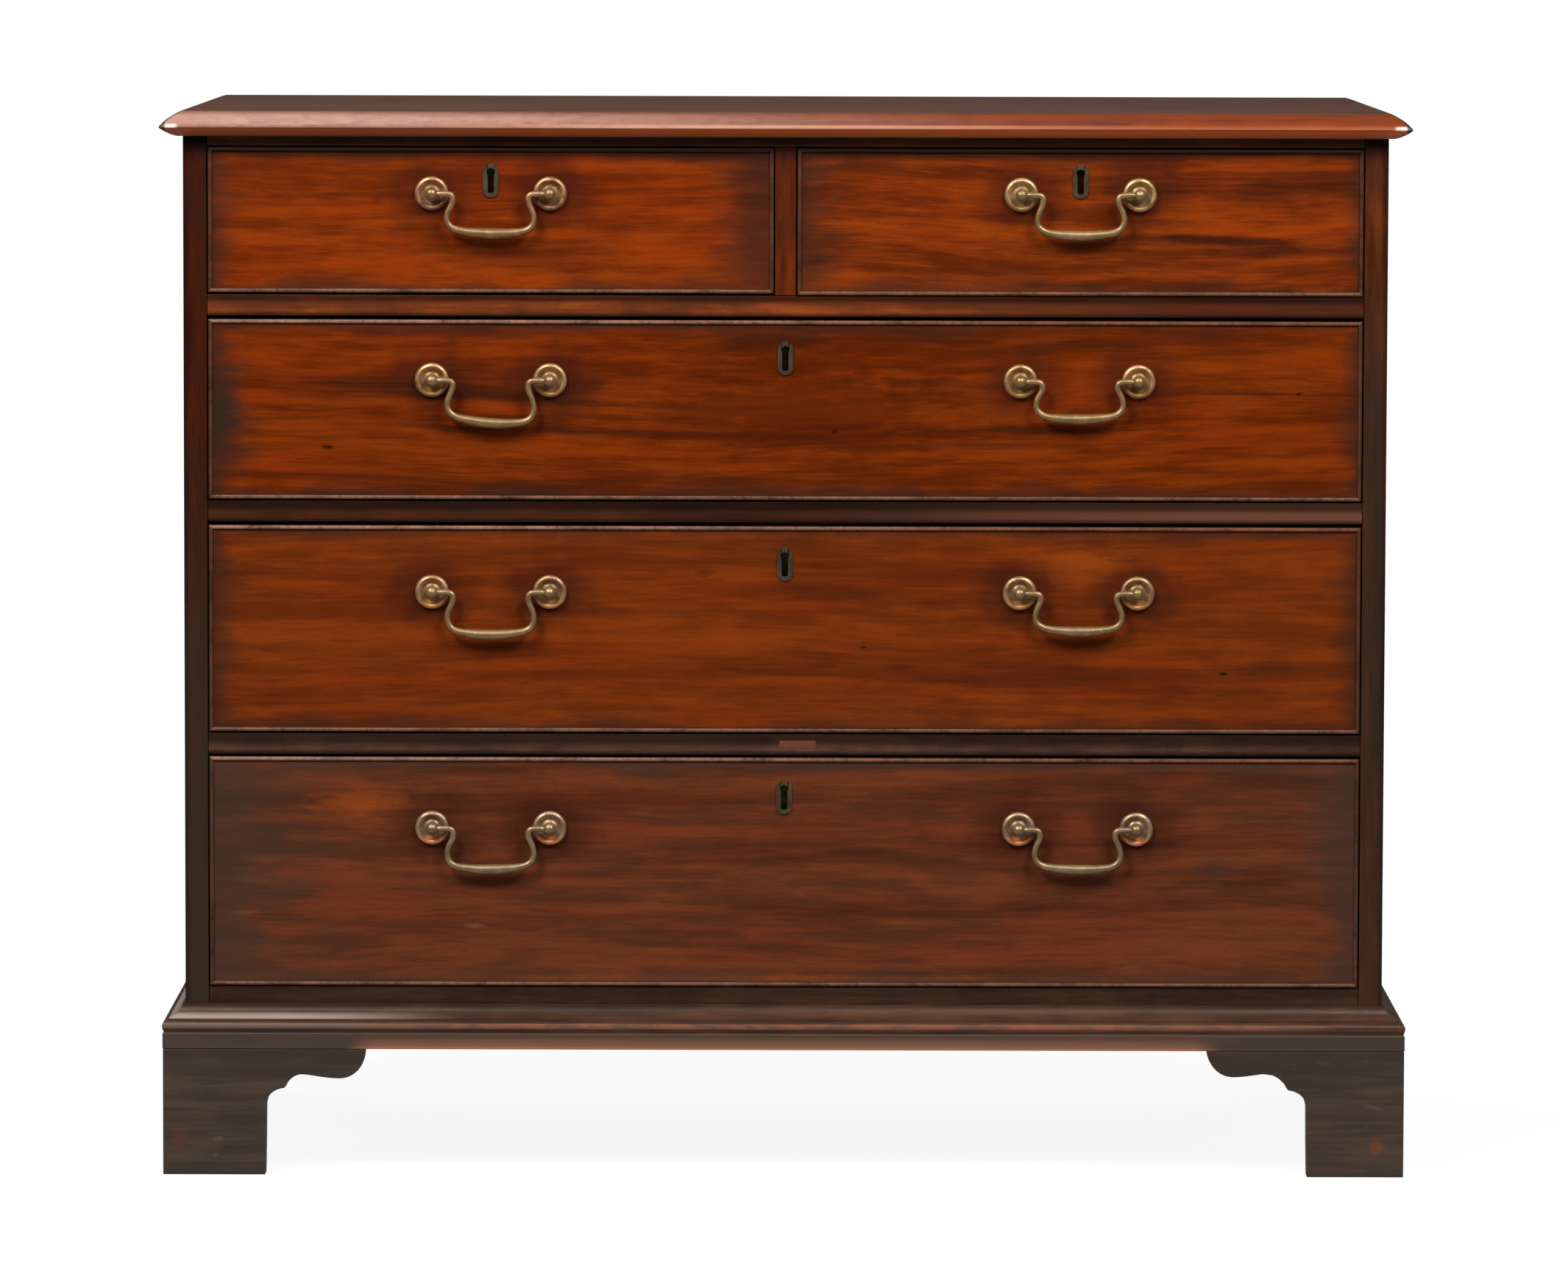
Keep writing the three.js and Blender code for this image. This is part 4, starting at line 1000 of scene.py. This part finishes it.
plate_brass = brass_finish("escutcheon brass", (138, 120, 98), (90, 80, 64), (52, 40, 28), 0.42)
lock_brass = brass_finish("lock brass", (196, 164, 96), (140, 116, 66), (70, 50, 28), 0.4)
bolt_iron = iron_finish()
for name, look in DRAWERS.items():
    low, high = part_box(f"{name}_lock")
    middle = Vector(((low.x + high.x) / 2, FACE - PLATE_PROUD + PLATE_THICK, look["post_z"] + look["plate"]))
    bm = bmesh.new()
    loops = []
    for outline in (plate_point, keyhole_point):
        points = []
        for i in range(RING_POINTS):
            angle = 2 * math.pi * (i + 0.5) / RING_POINTS
            point = outline(Vector((math.cos(angle), math.sin(angle))))
            points.append(bm.verts.new(middle + Vector((point.x, 0, point.y))))
        loops += [bm.edges.new(pair) for pair in zip(points, points[1:] + points[:1])]
    ring = bmesh.ops.bridge_loops(bm, edges=loops)["faces"]
    extruded(bm, ring, Matrix.Translation((0, -PLATE_THICK, 0)))
    made_piece(bm, f"{name}_escutcheon", name, f"{name}_lock", plate_brass, arris=0.00045)
    case_cuts = (((0, LOCK_FRONT, 0), (0, -1, 0)), ((0, LOCK_BACK - 0.00005, 0), (0, 1, 0)))
    lock = sawn_copy(f"{name}_lock", *case_cuts)
    made_piece(lock, f"{name}_lock_case", name, f"{name}_lock", lock_brass, arris=0.0)
    lock = sawn_copy(f"{name}_lock", ((0, LOCK_BACK + 0.00005, 0), (0, -1, 0)))
    made_piece(lock, f"{name}_lock_plate", name, f"{name}_lock", lock_brass, arris=0.0)
    dress(f"{name}_bolt", bolt_iron, arris=0.0004)

# The handles: cast brass swan-neck bails whose ends turn in the ball heads of two posts. Each post
# stands on a dished rosette, goes through the front and is held by a round nut inside the drawer.
# Turned sections are (radius, out of the face), and a bail's knots (across, up, radius) to its middle.
AXIS_OUT = 0.010
ROSETTE = mm(
    (14.2, -0.1), (14.6, -1.2), (14.6, -2.6), (14.1, -3.9), (13.1, -4.8), (11.9, -5.1), (10.8, -4.7),
    (9.9, -3.8), (9.2, -2.9), (8.2, -2.3), (7.0, -2.3), (6.0, -3.0), (5.2, -3.7), (4.2, -3.6),
    (3.0, -3.0), (0.0, -3.0),
)
POST = mm((0.0, 22.2), (2.9, 22.2), (2.9, -1.0), (3.4, -3.2), (3.1, -4.6), (3.6, -5.8))
NUT = mm((0.0, 26.1), (5.6, 26.3), (6.8, 25.6), (7.0, 24.4), (7.0, 22.5), (0.0, 22.5))
BALL_RADIUS = 0.0052
BALL_ANGLES = [math.pi * s / 12 for s in range(9, -1, -1)]
BALL = [(BALL_RADIUS * math.sin(a), -AXIS_OUT - BALL_RADIUS * math.cos(a)) for a in BALL_ANGLES]
BAIL = mm(
    (-48.4, 0.0, 1.9), (-44.5, 0.0, 1.9), (-43.8, 0.0, 2.6), (-38.5, 0.0, 2.6), (-33.8, -0.3, 2.6),
    (-31.6, -3.0, 2.6), (-32.2, -7.8, 2.5), (-35.0, -13.0, 2.4), (-36.9, -18.5, 2.4), (-36.4, -24.0, 2.5),
    (-33.8, -28.4, 2.8), (-28.4, -31.2, 3.1), (-19.0, -32.6, 3.7), (-10.0, -33.4, 4.3), (0.0, -33.7, 4.6),
)
DRIFT, THIN, BEND = 0.0004, 0.0040, -0.0010


def lathe(points, middle, name, body, node, material, steps=40):
    """A turned piece: its section spun about the post's axis along Y."""
    bm = bmesh.new()
    section = [bm.verts.new((middle.x + radius, middle.y + out, middle.z)) for radius, out in points]
    chain = [bm.edges.new(pair) for pair in zip(section, section[1:])]
    turn = {"cent": middle, "axis": (0, 1, 0), "angle": 2 * math.pi, "steps": steps}
    bmesh.ops.spin(bm, geom=[*section, *chain], use_merge=True, **turn)
    made_piece(bm, name, body, node, material, arris=0.0)


def bail_knots(drop, lean):
    """A bail's knots, cast a little unevenly where it is thin: how far it drops and leans is its own."""
    half = []
    for x, z, radius in BAIL:
        if radius < THIN and z < BEND:
            x, z = x + random.uniform(-DRIFT, DRIFT), z + random.uniform(-DRIFT, DRIFT)
        half.append((x, z, radius))
    knots = half + [(-x, z, radius) for x, z, radius in reversed(BAIL[:-1])]
    return [(x, z * drop - lean * x * z / BAIL[-1][1] * (z < BEND), radius) for x, z, radius in knots]


# For each drawer's handles: the brass where it is bright and where it is tarnished, the colour of
# the rosettes' lower rims, rubbed and with a painted reflection of the wood, and how strongly, and
# how far each bail drops and leans.
HANDLES = {
    "short_left": ((232, 178, 138), (146, 106, 66), (116, 74, 42), 0.6, [(1.0, 0.02)]),
    "short_right": ((226, 184, 140), (160, 130, 78), (178, 132, 74), 0.5, [(1.02, 0.0)]),
    "long_upper": ((222, 176, 130), (156, 120, 72), (184, 136, 72), 0.5, [(1.07, 0.07), (0.945, -0.01)]),
    "long_middle": ((216, 172, 132), (154, 120, 80), (236, 168, 100), 0.8, [(1.07, 0.0), (0.96, 0.0)]),
    "long_lower": ((206, 174, 142), (144, 118, 90), (252, 164, 112), 0.9, [(1.04, -0.01), (1.01, 0.02)]),
}
HANDLE_BRASS = {}
for name, (bright, tarnish, rub_and_light, strength, _) in HANDLES.items():
    rim = (rub_and_light, strength, DRAWERS[name]["post_z"])
    HANDLE_BRASS[name] = brass_finish(f"{name} handle brass", bright, tarnish, (76, 50, 26), 0.38, rim)
random.seed(7)
for joint in frame["joints"]:
    if not joint["name"].endswith("_swing"):
        continue
    bail, drawer = joint["child"], joint["parent"]
    axis = Vector(joint["pos_m"])
    number = int(bail[-1])
    knots = bail_knots(*HANDLES[drawer][-1][number - 1])
    curve = bpy.data.curves.new(f"{bail}_wire", "CURVE")
    curve.dimensions = "3D"
    curve.bevel_depth = 1.0
    curve.bevel_resolution = 6
    curve.use_fill_caps = True
    spline = curve.splines.new("NURBS")
    spline.points.add(len(knots) - 1)
    for point, (x, z, radius) in zip(spline.points, knots):
        point.co = (axis.x + x, axis.y, axis.z + z, 1)
        point.radius = radius
    spline.use_endpoint_u = True
    spline.order_u = 3
    spline.resolution_u = 4
    wire = bpy.data.objects.new(curve.name, curve)
    bm = bmesh.new()
    bm.from_mesh(wire.to_mesh())
    wire.to_mesh_clear()
    bpy.data.objects.remove(wire)
    brass = HANDLE_BRASS[drawer]
    made_piece(bm, f"{bail}_wire", bail, bail, brass, arris=0.0)
    for side in (0, 1):
        index = 2 * number - 1 + side
        node = f"{drawer}_post_{index}"
        middle = Vector((axis.x + (side - 0.5) * HANDLE_SPACING, FACE, axis.z))
        lathe(ROSETTE, middle, f"{drawer}_rosette_{index}", drawer, node, brass)
        lathe(POST + BALL, middle, f"{drawer}_pillar_{index}", drawer, node, brass)
        lathe(NUT, middle, f"{drawer}_nut_{index}", drawer, node, lock_brass, steps=24)

# A repair: a small slip of newer mahogany let into the face of the lowest rail, a hair proud of it.
# It was cut from another board, so its colour and its grain are its own.
rail_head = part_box("drawer_divider_3")[1].z
slip = board((-0.0044, FACE - 0.0001, rail_head - 0.0128), (0.0268, FACE + 0.0020, rail_head - 0.0055))
slip_wood = case_finish("rail slip", (112, 66, 44), (84, 50, 36), ACROSS_CASE, seed=71.0)
made_piece(slip, "rail_repair_slip", "case", None, slip_wood, arris=0.0004)

# The studio: a white floor that runs on as the background, soft boxes high on the left and right,
# two behind and one over the top, and the camera at the photograph's place.


def floor_finish():
    """White as the camera sees it, grey as it lights the chest, and dim further off in its polish."""
    material = bpy.data.materials.new("white floor")
    material.use_nodes = True
    tree = material.node_tree
    tree.nodes.remove(tree.nodes["Principled BSDF"])
    ray = tree.nodes.new("ShaderNodeLightPath").outputs
    away = Signal(tree.nodes.new("ShaderNodeTexCoord").outputs["Object"]).length()
    lit, shaded = (
        Signal(put(tree, "ShaderNodeBsdfDiffuse", {"Color": grey}).outputs[0])
        for grey in ((0.3, 0.3, 0.3, 1), (0.13, 0.13, 0.135, 1))
    )
    seen = step("ShaderNodeEmission", {"Color": (1, 1, 1, 1), "Strength": away.ramp(0.6, 1.6, 0.915, 1.0)})
    to_camera = step("ShaderNodeAddShader", {0: seen, 1: shaded})
    dim = away.ramp(0.5, 3.4, 0.3, 0.012)
    mirrored = step("ShaderNodeEmission", {"Color": (0.95, 0.97, 1, 1), "Strength": dim})
    other = step("ShaderNodeMixShader", {0: Signal(ray["Is Glossy Ray"]), 1: lit, 2: mirrored})
    both = step("ShaderNodeMixShader", {0: Signal(ray["Is Camera Ray"]), 1: other, 2: to_camera})
    feed(tree.nodes["Material Output"].inputs["Surface"], both)
    return material


bm = bmesh.new()
bmesh.ops.create_grid(bm, x_segments=1, y_segments=1, size=40)
bmesh.ops.translate(bm, verts=bm.verts, vec=(0, 0, -0.0002))
mesh = bpy.data.meshes.new("studio_floor")
bm.to_mesh(mesh)
bm.free()
mesh.materials.append(floor_finish())
floor = bpy.data.objects.new("studio_floor", mesh)
bpy.context.scene.collection.objects.link(floor)
floor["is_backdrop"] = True

BEHIND = ((0, 0.2, 0.45), (1.2, 1.2), 24, (1, 0.98, 0.96))
SOFT_BOXES = {
    "box_left": ((-1.7, -2.5, 3.1), (0, -0.2, 0.6), (1.3, 1.3), 115, (1, 0.98, 0.95)),
    "box_right": ((1.7, -2.5, 3.1), (0, -0.2, 0.6), (1.3, 1.3), 96, (1, 0.98, 0.96)),
    "box_behind_0": ((-2.7, 2.3, 1.7), *BEHIND),
    "box_behind_1": ((2.7, 2.3, 1.7), *BEHIND),
    "box_above": ((-0.6, 0.1, 2.6), (-0.4, -0.1, 0.9), (1.0, 1.2), 7, (1, 0.96, 0.94)),
}
for name, (place, aim, size, power, color) in SOFT_BOXES.items():
    light = bpy.data.lights.new(name, "AREA")
    light.shape = "RECTANGLE"
    light.size, light.size_y = size
    light.energy = power
    light.color = color
    lamp = bpy.data.objects.new(name, light)
    lamp.location = place
    lamp.rotation_euler = (Vector(aim) - Vector(place)).to_track_quat("-Z", "Y").to_euler()
    bpy.context.scene.collection.objects.link(lamp)

world = bpy.data.worlds.new("studio")
world.use_nodes = True
bpy.context.scene.world = world
tree = world.node_tree
ray = tree.nodes.new("ShaderNodeLightPath").outputs
_, _, up = Signal(tree.nodes.new("ShaderNodeTexCoord").outputs["Generated"]).axes()
mirrored = mixed(up.ramp(0.1, 0.9), (0.05, 0.047, 0.045, 1), (0.2, 0.19, 0.18, 1))
plain_light = mixed(Signal(ray["Is Glossy Ray"]), (0.1, 0.1, 0.105, 1), mirrored)
light_color = mixed(Signal(ray["Is Camera Ray"]), plain_light, (1, 1, 1, 1))
feed(tree.nodes["Background"].inputs["Color"], light_color)

lens = bpy.data.cameras.new("camera")
lens.sensor_width = 36
lens.sensor_fit = "HORIZONTAL"
lens.lens = 199.6
lens.clip_end = 200
camera = bpy.data.objects.new("camera", lens)
camera.matrix_world = (
    Matrix.Translation((-0.0005, -7.606, 1.0885))
    @ Matrix.Rotation(math.radians(90 - 4.895), 4, "X")
    @ Matrix.Rotation(math.radians(0.15), 4, "Z")
)
bpy.context.scene.collection.objects.link(camera)
bpy.context.scene.camera = camera
bpy.context.scene.view_settings.view_transform = "Standard"

low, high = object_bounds()
